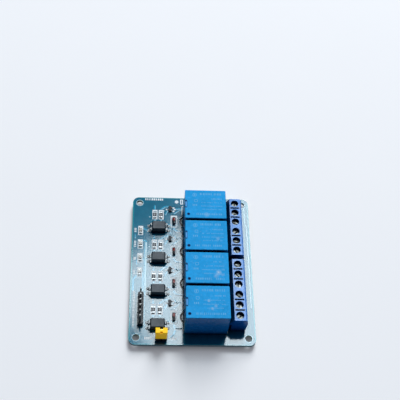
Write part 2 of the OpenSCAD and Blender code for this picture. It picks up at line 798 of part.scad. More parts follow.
circuit_board();
relay_case(1);  // relay_case_1
relay_case(2);  // relay_case_2
relay_case(3);  // relay_case_3
relay_case(4);  // relay_case_4
relay_base(1);  // relay_base_1
relay_base(2);  // relay_base_2
relay_base(3);  // relay_base_3
relay_base(4);  // relay_base_4
relay_pins(1);  // relay_pins_1
relay_pins(2);  // relay_pins_2
relay_pins(3);  // relay_pins_3
relay_pins(4);  // relay_pins_4
terminal_housing(1);  // terminal_housing_1
terminal_housing(2);  // terminal_housing_2
terminal_housing(3);  // terminal_housing_3
terminal_housing(4);  // terminal_housing_4
terminal_contacts(1);  // terminal_contacts_1
terminal_contacts(2);  // terminal_contacts_2
terminal_contacts(3);  // terminal_contacts_3
terminal_contacts(4);  // terminal_contacts_4
clamp_cages(1);  // clamp_cages_1
clamp_cages(2);  // clamp_cages_2
clamp_cages(3);  // clamp_cages_3
clamp_cages(4);  // clamp_cages_4
clamp_screws(1);  // clamp_screws_1
clamp_screws(2);  // clamp_screws_2
clamp_screws(3);  // clamp_screws_3
clamp_screws(4);  // clamp_screws_4
optocoupler(1);  // optocoupler_1
optocoupler(2);  // optocoupler_2
optocoupler(3);  // optocoupler_3
optocoupler(4);  // optocoupler_4
optocoupler_leads(1);  // optocoupler_leads_1
optocoupler_leads(2);  // optocoupler_leads_2
optocoupler_leads(3);  // optocoupler_leads_3
optocoupler_leads(4);  // optocoupler_leads_4
chip_resistors();
resistor_caps();
transistors();
transistor_leads();
diode_glasses();
diode_caps();
indicator_bases();
indicator_lenses();
indicator_caps();
control_header();
control_pins();
jumper_header();
jumper_pins();
jumper_cap();
jumper_clip();
relay_solder();
terminal_solder();
header_solder();
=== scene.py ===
"""Relay module board: finishes, board print, copper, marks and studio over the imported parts.

The parts keep the shapes that they have in the frame. This script gives every one of them its
finish, and adds the thin surface work that a drawing of the solids leaves out: the copper under
the solder mask, pads, plated rims, white print, marks on the cases, solder mounds, and the dies
and bands of the small parts. All lengths are written in millimetres and turned into metres where
a mesh is made.
"""
from __future__ import annotations

import logging
import math
from dataclasses import dataclass, field
from enum import Enum
from typing import Iterable, Optional, Sequence, Union

import bpy
import numpy as np
from mathutils import Matrix, Vector

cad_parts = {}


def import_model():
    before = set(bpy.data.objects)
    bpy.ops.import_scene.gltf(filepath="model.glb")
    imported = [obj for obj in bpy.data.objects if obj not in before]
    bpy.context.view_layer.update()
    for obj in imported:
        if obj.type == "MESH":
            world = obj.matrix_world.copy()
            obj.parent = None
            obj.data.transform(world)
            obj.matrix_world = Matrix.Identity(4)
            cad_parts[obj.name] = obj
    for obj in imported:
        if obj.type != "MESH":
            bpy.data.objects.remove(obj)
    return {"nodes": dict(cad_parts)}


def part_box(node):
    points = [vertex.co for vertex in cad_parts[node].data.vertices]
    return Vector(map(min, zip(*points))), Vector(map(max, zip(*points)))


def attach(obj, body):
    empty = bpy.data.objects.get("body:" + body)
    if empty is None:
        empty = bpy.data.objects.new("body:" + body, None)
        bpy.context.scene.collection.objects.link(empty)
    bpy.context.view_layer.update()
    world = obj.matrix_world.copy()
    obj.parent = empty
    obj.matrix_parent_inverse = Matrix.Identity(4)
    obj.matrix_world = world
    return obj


LOG = logging.getLogger("relay_module")
MM = 0.001
BODY = "root"
Colour = tuple[float, float, float]
Point = tuple[float, float]
Feed = Union[bpy.types.NodeSocket, float, Sequence[float]]


def shade(red: int, green: int, blue: int) -> Colour:
    """Linear colour of a display colour written from 0 to 255.

    Args:
        red: Red, 0 to 255.
        green: Green, 0 to 255.
        blue: Blue, 0 to 255.

    Returns:
        The same colour in linear light.
    """
    values = np.array([red, green, blue], float) / 255
    linear = np.where(values <= 0.04045, values / 12.92, ((values + 0.055) / 1.055) ** 2.4)
    return tuple(float(value) for value in linear)


# ---------------------------------------------------------------------------- surfaces


@dataclass
class Skin:
    """A surface as arrays: points in millimetres, four-sided faces and three-sided faces."""

    points: np.ndarray
    quads: np.ndarray = field(default_factory=lambda: np.empty((0, 4), int))
    tris: np.ndarray = field(default_factory=lambda: np.empty((0, 3), int))

    def outward(self) -> Skin:
        """The same closed skin with its faces turned outwards.

        The enclosed volume is the sum over triangles of a . (b x c) / 6. Where it is negative,
        every face is turned round.

        Returns:
            This skin, or its copy with each face's corners in the other order.
        """
        fans = [self.tris, self.quads[:, [0, 1, 2]], self.quads[:, [0, 2, 3]]]
        a, b, c = np.moveaxis(self.points[np.concatenate(fans)], 1, 0)
        if float(np.einsum("ij,ij->", a, np.cross(b, c))) < 0:
            return Skin(self.points, self.quads[:, ::-1], self.tris[:, ::-1])
        return self

    def moved(self, x: float, y: float, z: float = 0.0) -> Skin:
        """The same skin at another place, in millimetres."""
        return Skin(self.points + np.array([x, y, z]), self.quads, self.tris)

    @staticmethod
    def joined(skins: Iterable[Skin]) -> Skin:
        """Several skins as one, with their corner numbers shifted.

        Args:
            skins: The skins to join.

        Returns:
            One skin that holds them all.
        """
        skins = list(skins)
        starts = np.cumsum([0] + [len(skin.points) for skin in skins[:-1]])
        return Skin(
            np.concatenate([skin.points for skin in skins]),
            np.concatenate([skin.quads + start for skin, start in zip(skins, starts)]),
            np.concatenate([skin.tris + start for skin, start in zip(skins, starts)]),
        )


def grid_quads(rows: int, columns: int, closed_rows: bool, closed_columns: bool) -> np.ndarray:
    """Faces of a grid of points numbered row by row.

    Face (i, j) joins points (i, j), (i, j+1), (i+1, j+1) and (i+1, j), where a closed direction
    counts on from its last line to its first.

    Args:
        rows: Number of rows of points.
        columns: Number of points in a row.
        closed_rows: Whether the last row joins the first.
        closed_columns: Whether the last column joins the first.

    Returns:
        Array of faces with four corner numbers each.
    """
    i = np.arange(rows if closed_rows else rows - 1)
    j = np.arange(columns if closed_columns else columns - 1)
    i, j = (a.ravel() for a in np.meshgrid(i, j, indexing="ij"))
    i2, j2 = (i + 1) % rows, (j + 1) % columns
    return np.stack([i * columns + j, i * columns + j2, i2 * columns + j2, i2 * columns + j], 1)


def plate(outline: np.ndarray, low: float, high: float, edge: float = 0.0) -> Skin:
    """Closed plate over an outline that its middle point sees all of.

    Row 0 is the outline at the lower level and row 1 the outline at the upper level, drawn in
    towards the middle by the edge. A point in the middle closes each face.

    Args:
        outline: Points of the outline, n by 2.
        low: Lower level.
        high: Upper level.
        edge: How far the upper outline is drawn in.

    Returns:
        The plate.
    """
    n = len(outline)
    middle = outline.mean(axis=0)
    arm = outline - middle
    reach = np.linalg.norm(arm, axis=1, keepdims=True)
    upper = middle + arm * np.maximum(1 - edge / np.maximum(reach, 1e-6), 0.2)
    points = np.vstack([
        np.column_stack([outline, np.full(n, low)]),
        np.column_stack([upper, np.full(n, high)]),
        [[middle[0], middle[1], low], [middle[0], middle[1], high]],
    ])
    j = np.arange(n)
    j2 = (j + 1) % n
    tris = np.vstack([
        np.column_stack([np.full(n, 2 * n), j2, j]),
        np.column_stack([np.full(n, 2 * n + 1), n + j, n + j2]),
    ])
    return Skin(points, grid_quads(2, n, False, True), tris).outward()


def rounded_bar(x: float, y: float, length: float, width: float, radius: float,
                turn: float = 0.0, steps: int = 5) -> np.ndarray:
    """Outline of a bar with round corners.

    Corner k is an arc of a quarter turn about its own centre: centre + radius (cos a, sin a),
    with a from 90 k to 90 (k + 1) degrees.

    Args:
        x: Middle of the bar along X.
        y: Middle of the bar along Y.
        length: Size along X before it is turned.
        width: Size along Y before it is turned.
        radius: Radius of the corners.
        turn: Turn about the middle, in degrees.
        steps: Points in each corner.

    Returns:
        Points of the outline, counter-clockwise.
    """
    radius = min(radius, 0.4999 * length, 0.4999 * width)
    angle = np.radians(np.add.outer(np.arange(4) * 90.0, np.linspace(0, 90, steps)))
    sign = np.array([[1, 1], [-1, 1], [-1, -1], [1, -1]], float)
    centre = sign * [length / 2 - radius, width / 2 - radius]
    corner = centre[:, None, :] + radius * np.stack([np.cos(angle), np.sin(angle)], -1)
    c, s = math.cos(math.radians(turn)), math.sin(math.radians(turn))
    return corner.reshape(-1, 2) @ np.array([[c, s], [-s, c]]) + [x, y]


def disc(x: float, y: float, radius: float, steps: int = 24) -> np.ndarray:
    """Outline of a disc: centre + radius (cos a, sin a)."""
    angle = np.linspace(0, 2 * np.pi, steps, endpoint=False)
    return np.column_stack([x + radius * np.cos(angle), y + radius * np.sin(angle)])


def frame_ring(outer: np.ndarray, inner: np.ndarray, low: float, high: float) -> Skin:
    """Closed flat ring between two outlines with equally many points.

    The rows are the inner outline below, the inner one above, the outer one above and the outer
    one below, and the last row joins the first.

    Args:
        outer: Points of the outer outline.
        inner: Points of the inner outline.
        low: Lower level.
        high: Upper level.

    Returns:
        The ring.
    """
    n = len(outer)
    rows = [(inner, low), (inner, high), (outer, high), (outer, low)]
    points = np.vstack([np.column_stack([line, np.full(n, z)]) for line, z in rows])
    return Skin(points, grid_quads(4, n, True, True)).outward()


def revolved(x: float, y: float, profile: np.ndarray, steps: int = 32,
             closed: bool = True) -> Skin:
    """Profile turned about an upright axis: (x + r cos a, y + r sin a, z).

    Args:
        x: Axis along X.
        y: Axis along Y.
        profile: Points (r, z) of the profile.
        steps: Number of steps round.
        closed: Whether the profile's last point joins its first.

    Returns:
        The turned surface.
    """
    angle = np.linspace(0, 2 * np.pi, steps, endpoint=False)[:, None]
    radius, level = profile[None, :, 0], profile[None, :, 1]
    points = np.stack([x + radius * np.cos(angle), y + radius * np.sin(angle),
                       level + 0 * angle], -1).reshape(-1, 3)
    return Skin(points, grid_quads(steps, len(profile), True, closed)).outward()


def ribbon(path: Sequence[Point], width: float, low: float, high: float,
           turns: int = 4) -> Skin:
    """Flat band along a path with mitred bends and round ends, as a track is drawn.

    At path point i the band's two edges lie at p + t s and p - t s, with s the mitred side
    direction and t half the width. Each end goes on for half the width in a few rows whose
    half width is t sqrt(1 - k k), k from 0 to nearly 1, which rounds it. A row holds the left
    edge below and above and the right edge above and below.

    Args:
        path: Points of the middle line.
        width: Width of the band.
        low: Lower level.
        high: Upper level.
        turns: Rows in each round end.

    Returns:
        The band, closed at its ends.
    """
    line = np.asarray(path, float)
    step = np.diff(line, axis=0)
    step /= np.linalg.norm(step, axis=1, keepdims=True)
    side = np.column_stack([-step[:, 1], step[:, 0]])
    before, after = np.vstack([side[:1], side]), np.vstack([side, side[-1:]])
    mitre = before + after
    mitre /= np.maximum((mitre * before).sum(axis=1, keepdims=True), 0.35)
    half = np.full(len(line), width / 2)
    k = np.sin(np.linspace(0, np.pi / 2, turns + 1))[1:]
    k[-1] = 0.985
    tip = width / 2 * np.sqrt(1 - k * k)
    line = np.vstack([line[0] - np.outer(k[::-1], step[0]) * width / 2, line,
                      line[-1] + np.outer(k, step[-1]) * width / 2])
    mitre = np.vstack([np.repeat(mitre[:1], turns, 0), mitre, np.repeat(mitre[-1:], turns, 0)])
    half = np.concatenate([tip[::-1], half, tip])[:, None]
    left, right = line + mitre * half, line - mitre * half
    rows = len(line)
    level = np.ones((rows, 1))
    points = np.stack([np.hstack([left, low * level]), np.hstack([left, high * level]),
                       np.hstack([right, high * level]), np.hstack([right, low * level])], 1)
    ends = np.array([[3, 2, 1, 0], np.arange(4) + 4 * (rows - 1)])
    quads = np.vstack([grid_quads(rows, 4, False, True), ends])
    return Skin(points.reshape(-1, 3), quads).outward()


def mound(x: float, y: float, length: float, width: float, low: float, height: float,
          power: float = 2.6, fullness: float = 0.6, rings: int = 6, steps: int = 20) -> Skin:
    """Closed mound of solder on a rounded footprint.

    Ring k has the size k / rings of a superellipse |x/a|^p + |y/b|^p = 1, and stands at
    low + height (1 - r r)^fullness. The middle point closes the top and one more the foot.

    Args:
        x: Middle along X.
        y: Middle along Y.
        length: Footprint along X.
        width: Footprint along Y.
        low: Level of the foot.
        height: Height in the middle.
        power: Power of the superellipse.
        fullness: Power that rounds the flank.
        rings: Number of rings.
        steps: Points in a ring.

    Returns:
        The mound.
    """
    angle = np.linspace(0, 2 * np.pi, steps, endpoint=False)
    size = np.linspace(1, 0, rings, endpoint=False)[:, None]
    c, s = np.cos(angle)[None], np.sin(angle)[None]
    grip = (np.abs(c) ** power + np.abs(s) ** power) ** (-1 / power)
    points = np.stack([x + size * grip * c * length / 2, y + size * grip * s * width / 2,
                       low + height * (1 - size ** 2) ** fullness + 0 * c], -1).reshape(-1, 3)
    points = np.vstack([points, [[x, y, low + height], [x, y, low]]])
    j = np.arange(steps)
    j2 = (j + 1) % steps
    last = (rings - 1) * steps
    tris = np.vstack([np.column_stack([last + j, last + j2, np.full(steps, rings * steps)]),
                      np.column_stack([j2, j, np.full(steps, rings * steps + 1)])])
    return Skin(points, grid_quads(rings, steps, False, True), tris).outward()


def make_piece(name: str, skin: Skin, finish: Finish, smooth: bool = False) -> None:
    """Makes one scene piece from a skin, gives it its finish and lets it ride on the board.

    Args:
        name: Name of the piece.
        skin: Its surface, in millimetres.
        finish: Its finish.
        smooth: Whether its faces are shaded smooth.
    """
    mesh = bpy.data.meshes.new(name)
    loops = np.concatenate([skin.quads.ravel(), skin.tris.ravel()]).astype(np.int32)
    starts = np.concatenate([
        np.arange(len(skin.quads)) * 4,
        len(skin.quads) * 4 + np.arange(len(skin.tris)) * 3,
    ]).astype(np.int32)
    mesh.vertices.add(len(skin.points))
    mesh.vertices.foreach_set("co", (skin.points * MM).ravel())
    mesh.loops.add(len(loops))
    mesh.loops.foreach_set("vertex_index", loops)
    mesh.polygons.add(len(starts))
    mesh.polygons.foreach_set("loop_start", starts)
    mesh.update(calc_edges=True)
    mesh.validate()
    mesh.polygons.foreach_set("use_smooth", np.full(len(mesh.polygons), smooth))
    mesh.materials.append(finish.material())
    piece = bpy.data.objects.new(name, mesh)
    bpy.context.scene.collection.objects.link(piece)
    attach(piece, BODY)
    LOG.info("piece %s: %d faces", name, len(starts))


# ---------------------------------------------------------------------------- the frame


@dataclass(frozen=True)
class Box:
    """Box of one solid, in millimetres."""

    low: np.ndarray
    high: np.ndarray

    @property
    def middle(self) -> np.ndarray:
        """Middle of the box."""
        return (self.low + self.high) / 2

    @property
    def size(self) -> np.ndarray:
        """Lengths of the box."""
        return self.high - self.low


def node_box(node: str) -> Box:
    """Box of a whole node of the frame."""
    low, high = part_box(node)
    return Box(np.array(low) / MM, np.array(high) / MM)


@dataclass
class Frame:
    nodes: dict[str, bpy.types.Object]

    def dress(self, finish: Finish, *names: str) -> None:
        """Puts a finish into every material slot of some nodes.

        Args:
            finish: The finish.
            names: The nodes that take it.
        """
        for name in names:
            mesh = self.nodes[name].data
            if not mesh.materials:
                mesh.materials.append(None)
            for index in range(len(mesh.materials)):
                mesh.materials[index] = finish.material()
            LOG.info("node %s: %s", name, finish.name)

    def solids(self, node: str) -> list[Box]:
        """Boxes of the separate solids of a node, from rear to front and then left to right.

        Corners at the same place are merged. Each corner starts with its own number as its
        label, and takes the lowest label of the triangles round it until none changes.

        Args:
            node: Name of the node.

        Returns:
            One box for each solid.
        """
        mesh = self.nodes[node].data
        points = np.empty(len(mesh.vertices) * 3)
        mesh.vertices.foreach_get("co", points)
        corners = np.empty(len(mesh.loops), np.int32)
        mesh.loops.foreach_get("vertex_index", corners)
        places, index = np.unique(np.round(points.reshape(-1, 3) / MM, 4), axis=0,
                                  return_inverse=True)
        faces = index.ravel()[corners].reshape(-1, 3)
        label = np.arange(len(places))
        while True:
            lowest = label.copy()
            np.minimum.at(lowest, faces.ravel(), np.repeat(label[faces].min(axis=1), 3))
            lowest = lowest[lowest]
            if np.array_equal(lowest, label):
                break
            label = lowest
        boxes = [Box(places[label == k].min(axis=0), places[label == k].max(axis=0))
                 for k in np.unique(label)]
        return sorted(boxes, key=lambda box: (-round(box.middle[1], 1), box.middle[0]))


# ---------------------------------------------------------------------------- finishes


class Graph:
    """The node tree of one material, with short calls for what the finishes share."""

    def __init__(self, name: str) -> None:
        """Starts an empty material.

        Args:
            name: Name of the material.
        """
        self.material = bpy.data.materials.new(name)
        self.material.use_nodes = True
        self.tree = self.material.node_tree
        self.tree.nodes.clear()
        self.place = self.add("TexCoord").outputs["Object"]

    def add(self, kind: str, feeds: Optional[dict[Union[str, int], Feed]] = None,
            **settings: object) -> bpy.types.Node:
        """Adds a node.

        Args:
            kind: Node type, without its common prefix.
            feeds: What goes into its inputs: another node's output or a plain value.
            settings: Properties of the node.

        Returns:
            The node.
        """
        node = self.tree.nodes.new("ShaderNode" + kind)
        for key, value in settings.items():
            setattr(node, key, value)
        for key, value in (feeds or {}).items():
            self.feed(node.inputs[key], value)
        return node

    def feed(self, socket: bpy.types.NodeSocket, value: Feed) -> None:
        """Links an output into a socket, or sets the socket to a plain value.

        Args:
            socket: The input socket.
            value: An output socket, a number or a colour.
        """
        if isinstance(value, bpy.types.NodeSocket):
            self.tree.links.new(value, socket)
        elif isinstance(value, (int, float)):
            socket.default_value = float(value)
        else:
            values = list(value)
            if socket.type == "RGBA" and len(values) == 3:
                values.append(1.0)
            socket.default_value = values

    def noise(self, period: float, detail: float = 3.0, rough: float = 0.55,
              stretch: tuple[float, float, float] = (1.0, 1.0, 1.0)) -> bpy.types.NodeSocket:
        """Noise from 0 to 1 over the object's own coordinates.

        Args:
            period: Typical length of a swell, in millimetres.
            detail: Octaves.
            rough: How strongly finer octaves count.
            stretch: Factors on the three directions, where more is finer.

        Returns:
            The noise's value.
        """
        place = self.add("Mapping", {"Vector": self.place, "Scale": stretch})
        node = self.add("TexNoise", {"Vector": place.outputs[0], "Scale": 1 / (period * MM),
                                     "Detail": detail, "Roughness": rough})
        return node.outputs[0]

    def spread(self, value: Feed, low: float, high: float, to_low: float = 0.0,
               to_high: float = 1.0) -> bpy.types.NodeSocket:
        """Maps a value from one range to another and keeps it inside.

        Args:
            value: The value.
            low: Start of the first range.
            high: End of the first range.
            to_low: Start of the second range.
            to_high: End of the second range.

        Returns:
            The mapped value.
        """
        node = self.add("MapRange", {"Value": value, "From Min": low, "From Max": high,
                                     "To Min": to_low, "To Max": to_high})
        return node.outputs[0]

    def blend(self, share: Feed, first: Feed, second: Feed) -> bpy.types.NodeSocket:
        """Mixes two colours.

        Args:
            share: Share of the second, from 0 to 1.
            first: First colour.
            second: Second colour.

        Returns:
            The mixed colour.
        """
        node = self.add("Mix", data_type="RGBA")
        for index, value in ((0, share), (6, first), (7, second)):
            self.feed(node.inputs[index], value)
        return node.outputs[2]

    def sum(self, kind: str, first: Feed, second: Feed = 0.0,
            clamp: bool = False) -> bpy.types.NodeSocket:
        """One step of arithmetic.

        Args:
            kind: Name of the operation, such as ADD or MULTIPLY.
            first: First number.
            second: Second number.
            clamp: Whether the result is kept between 0 and 1.

        Returns:
            The result.
        """
        node = self.add("Math", {0: first, 1: second}, operation=kind, use_clamp=clamp)
        return node.outputs[0]

    def split(self, vector: Feed) -> list[bpy.types.NodeSocket]:
        """The three parts of a vector."""
        return list(self.add("SeparateXYZ", {0: vector}).outputs)

    def normal(self) -> bpy.types.NodeSocket:
        """The surface's own direction, in the frame."""
        return self.add("NewGeometry").outputs["Normal"]

    def bump(self, height: Feed, depth: float, strength: float = 1.0) -> bpy.types.NodeSocket:
        """Turns a height from 0 to 1 into a change of the surface's direction.

        Args:
            height: The height.
            depth: What a height of 1 stands for, in millimetres.
            strength: Share of the effect.

        Returns:
            The direction, for a shader.
        """
        node = self.add("Bump", {"Height": height, "Distance": depth * MM,
                                 "Strength": strength})
        return node.outputs[0]

    def crevice_shade(self, base: Feed, depth: float, reach: float) -> bpy.types.NodeSocket:
        """Painted shade: darkens a colour where other surfaces stand close.

        Args:
            base: The colour in the open.
            depth: Share of the colour that a closed corner loses.
            reach: How far off another surface still counts, in millimetres.

        Returns:
            The colour with its dark corners.
        """
        open_share = self.add("AmbientOcclusion", {"Distance": reach * MM},
                              samples=8).outputs["AO"]
        dark = self.spread(open_share, 0.2, 0.95, depth, 0.0)
        return self.blend(dark, base, (0.0, 0.0, 0.004))

    def surface(self, **feeds: Feed) -> bpy.types.Node:
        """Ends the material with one principled shader.

        Args:
            feeds: Its inputs, with an underscore for each space.

        Returns:
            The shader.
        """
        shader = self.add("BsdfPrincipled",
                          {key.replace("_", " "): value for key, value in feeds.items()})
        output = self.add("OutputMaterial")
        self.tree.links.new(shader.outputs[0], output.inputs[0])
        return shader


@dataclass(frozen=True)
class Finish:
    """A surface finish, made into one material at its first use."""

    name: str

    def material(self) -> bpy.types.Material:
        """The material of this finish."""
        title = f"finish_{self.name}"
        found = bpy.data.materials.get(title)
        if found is None:
            graph = Graph(title)
            self.wire(graph)
            found = graph.material
        return found

    def wire(self, graph: Graph) -> None:
        """Wires the finish's nodes.

        Args:
            graph: The empty material.
        """
        raise NotImplementedError


@dataclass(frozen=True)
class Smudge:
    """Pale rubbed spot on a level face: its place and radius in millimetres, and its share."""

    x: float
    y: float
    radius: float
    share: float


@dataclass(frozen=True)
class MouldedPlastic(Finish):
    """Moulded plastic: slow and fine changes of colour, grain, dust, and painted shade in crevices.
    """

    colour: Colour = (0.5, 0.5, 0.5)
    roughness: float = 0.4
    side_roughness: float = 0.0
    specular: float = 0.5
    grain: float = 0.004
    grain_period: float = 0.25
    mottle: float = 0.06
    dust: float = 0.05
    dust_colour: Colour = (0.6, 0.68, 0.75)
    glow: float = 0.0
    painted_glow: float = 0.0
    crevice_shade: float = 0.0
    reach: float = 4.0
    smudges: tuple[Smudge, ...] = ()

    def wire(self, graph: Graph) -> None:
        """Wires colour drift, a haze of dust, rubbed spots, painted crevice shade, painted glow,
        sheen and grain.
        """
        drift = graph.sum("ADD", graph.sum("MULTIPLY", graph.noise(9.0, 3.0), 0.45),
                          graph.sum("MULTIPLY", graph.noise(1.3, 4.0, 0.65), 0.55))
        dark = tuple(c * (1 - self.mottle) for c in self.colour)
        light = tuple(min(c * (1 + self.mottle) + 0.03 * self.mottle, 1) for c in self.colour)
        base = graph.blend(graph.spread(drift, 0.36, 0.64), dark, light)
        upward = graph.spread(graph.split(graph.normal())[2], 0.2, 0.9)
        speck = graph.spread(graph.noise(1.1, 5.0, 0.7), 0.56, 0.78)
        haze = graph.sum("MULTIPLY", graph.sum("MULTIPLY", speck, upward), self.dust)
        for smudge in self.smudges:
            haze = graph.sum("ADD", haze, self.spot(graph, smudge, upward))
        base = graph.blend(graph.sum("MINIMUM", haze, 0.9), base, self.dust_colour)
        # Painted shade: the colour darkens where other surfaces stand close.
        if self.crevice_shade:
            base = graph.crevice_shade(base, self.crevice_shade, self.reach)
        sheen = graph.spread(graph.noise(3.0, 4.0), 0.3, 0.7, self.roughness - 0.04,
                             self.roughness + 0.06)
        if self.side_roughness:
            level = graph.sum("ABSOLUTE", graph.split(graph.normal())[2])
            change = graph.spread(level, 0.3, 0.8, self.side_roughness - self.roughness, 0.0)
            sheen = graph.sum("ADD", sheen, change)
        grain = graph.noise(self.grain_period, 2.0)
        feeds: dict[str, Feed] = {}
        # Emission: painted light, so the part glows in its own colour.
        if self.painted_glow:
            feeds = {"Emission_Color": base, "Emission_Strength": self.painted_glow}
        if self.glow:
            feeds.update(Subsurface_Weight=self.glow, Subsurface_Scale=0.0008,
                         Subsurface_Radius=(1.0, 0.6, 0.15))
        graph.surface(Base_Color=base, Roughness=sheen, Specular_IOR_Level=self.specular,
                      Normal=graph.bump(grain, self.grain), **feeds)

    def spot(self, graph: Graph, smudge: Smudge, upward: Feed) -> bpy.types.NodeSocket:
        """Share of one rubbed spot, which fades from its middle and breaks up in a noise."""
        offset = graph.add("VectorMath", {0: graph.place, 1: (-smudge.x * MM, -smudge.y * MM, 0)},
                           operation="ADD").outputs[0]
        x, y, _ = graph.split(offset)
        away = graph.sum("SQRT", graph.sum("ADD", graph.sum("MULTIPLY", x, x),
                                           graph.sum("MULTIPLY", y, y)))
        near = graph.spread(away, 0.0, smudge.radius * MM, smudge.share, 0.0)
        ragged = graph.spread(graph.noise(0.7, 4.0, 0.7), 0.35, 0.6, 0.3, 1.0)
        return graph.sum("MULTIPLY", graph.sum("MULTIPLY", near, ragged), upward)


@dataclass(frozen=True)
class Metal(Finish):
    """Bare or plated metal with tarnish in patches and a fine uneven face."""

    colour: Colour = (0.8, 0.8, 0.8)
    tarnish: Colour = (0.4, 0.38, 0.35)
    roughness: float = 0.3
    tarnish_share: float = 0.35
    ripple: float = 0.01
    ripple_period: float = 0.4

    def wire(self, graph: Graph) -> None:
        """Wires patches of tarnish, their rougher sheen and a rippled face."""
        patch = graph.spread(graph.noise(1.3, 5.0, 0.65), 0.45, 0.75, 0.0, self.tarnish_share)
        base = graph.blend(patch, self.colour, self.tarnish)
        sheen = graph.spread(graph.noise(0.7, 4.0), 0.3, 0.75, self.roughness * 0.75,
                             self.roughness * 1.5)
        ripple = graph.noise(self.ripple_period, 3.0)
        graph.surface(Base_Color=base, Metallic=1.0, Roughness=sheen,
                      Normal=graph.bump(ripple, self.ripple))


@dataclass(frozen=True)
class MaskedBoard(Finish):
    """Glass-fibre board: glossy mask on its faces, pale layered laminate on its cut edges."""

    mask: Colour = (0.006, 0.11, 0.19)
    mask_pale: Colour = (0.012, 0.18, 0.28)
    rim: Colour = (0.012, 0.26, 0.32)
    laminate: Colour = (0.62, 0.72, 0.6)
    layer: Colour = (0.4, 0.5, 0.42)
    roughness: float = 0.10
    weave: float = 0.45
    half_x: float = 27.5
    half_y: float = 37.9
    rim_width: float = 0.45

    def wire(self, graph: Graph) -> None:
        """Wires the weave under the mask, its bare rim, the cut edge's layers, and painted shade
        near parts and in slots.
        """
        x, y, z = graph.split(graph.place)
        period = self.weave * MM
        wave_x = graph.sum("SINE", graph.sum("MULTIPLY", x, 2 * math.pi / period))
        wave_y = graph.sum("SINE", graph.sum("MULTIPLY", y, 2 * math.pi / period))
        cloth = graph.spread(graph.sum("MULTIPLY", wave_x, wave_y), -1, 1)
        cloud = graph.spread(graph.noise(6.0, 5.0, 0.6), 0.3, 0.7)
        tone = graph.sum("ADD", graph.sum("MULTIPLY", cloth, 0.25),
                         graph.sum("MULTIPLY", cloud, 0.6))
        face = graph.blend(tone, self.mask, self.mask_pale)
        inside = [graph.sum("SUBTRACT", half * MM, graph.sum("ABSOLUTE", way))
                  for half, way in ((self.half_x, x), (self.half_y, y))]
        rim = graph.spread(graph.sum("MINIMUM", *inside), self.rim_width * 0.7 * MM,
                           self.rim_width * MM, 1.0, 0.0)
        # Painted shade: the mask darkens close to the parts that stand on it.
        face = graph.crevice_shade(graph.blend(rim, face, self.rim), 0.85, 5.0)
        bands = graph.sum("SINE", graph.sum("MULTIPLY", z, 2 * math.pi / (0.2 * MM)))
        fibre = graph.noise(0.12, 3.0, 0.6, (1.0, 1.0, 4.0))
        edge = graph.blend(graph.sum("MULTIPLY", graph.spread(bands, -1, 1), fibre),
                           self.laminate, self.layer)
        # Painted shade: the cut edges darken inside the slots and holes.
        edge = graph.crevice_shade(edge, 0.97, 1.6)
        upright = graph.sum("ABSOLUTE", graph.split(graph.normal())[2])
        flat = graph.spread(upright, 0.45, 0.55)
        base = graph.blend(flat, edge, face)
        sheen = graph.spread(flat, 0, 1, 0.75, self.roughness)
        swell = graph.sum("ADD", graph.sum("MULTIPLY", graph.noise(1.6, 3.0), 0.7),
                          graph.sum("MULTIPLY", cloth, 0.12))
        graph.surface(Base_Color=base, Roughness=sheen, Specular_IOR_Level=0.5,
                      Normal=graph.bump(swell, 0.006))


@dataclass(frozen=True)
class MaskedCopper(Finish):
    """Copper under the solder mask: brighter than the bare laminate, equally glossy."""

    colour: Colour = (0.012, 0.36, 0.58)
    deep: Colour = (0.008, 0.26, 0.44)
    roughness: float = 0.10
    specular: float = 0.5

    def wire(self, graph: Graph) -> None:
        """Wires a drift between two blues, painted shade near other surfaces, and the swell of the
        mask over a track.
        """
        drift = graph.spread(graph.noise(2.5, 4.0), 0.3, 0.7)
        # Painted shade: the colour darkens close to other surfaces.
        base = graph.crevice_shade(graph.blend(drift, self.deep, self.colour), 0.85, 4.0)
        graph.surface(Base_Color=base, Roughness=self.roughness,
                      Specular_IOR_Level=self.specular,
                      Normal=graph.bump(graph.noise(1.2, 3.0), 0.005))


@dataclass(frozen=True)
class PrintInk(Finish):
    """White or tinted screen-print ink, thin enough for the ground to show in pinholes."""

    colour: Colour = (0.78, 0.82, 0.84)
    ground: Colour = (0.1, 0.3, 0.42)
    thin: float = 0.35
    roughness: float = 0.5

    def wire(self, graph: Graph) -> None:
        """Wires the thin places of the ink and its dull, slightly raised face."""
        thin = graph.spread(graph.noise(0.35, 4.0, 0.7), 0.5, 0.72, 0.0, self.thin)
        graph.surface(Base_Color=graph.blend(thin, self.colour, self.ground),
                      Roughness=self.roughness, Specular_IOR_Level=0.4,
                      Normal=graph.bump(graph.noise(0.3, 2.0), 0.004))


@dataclass(frozen=True)
class ColouredGlass(Finish):
    """Tinted glass or clear resin with faint streaks."""

    colour: Colour = (0.8, 0.2, 0.1)
    streak: Colour = (0.5, 0.1, 0.05)
    transmission: float = 0.7
    roughness: float = 0.06

    def wire(self, graph: Graph) -> None:
        """Wires streaks along the drawn direction and a nearly smooth face."""
        streak = graph.spread(graph.noise(0.5, 3.0, 0.5, (3.0, 0.6, 3.0)), 0.35, 0.7)
        graph.surface(Base_Color=graph.blend(streak, self.colour, self.streak),
                      Roughness=self.roughness, IOR=1.5,
                      Transmission_Weight=self.transmission,
                      Normal=graph.bump(graph.noise(0.6, 2.0), 0.003))


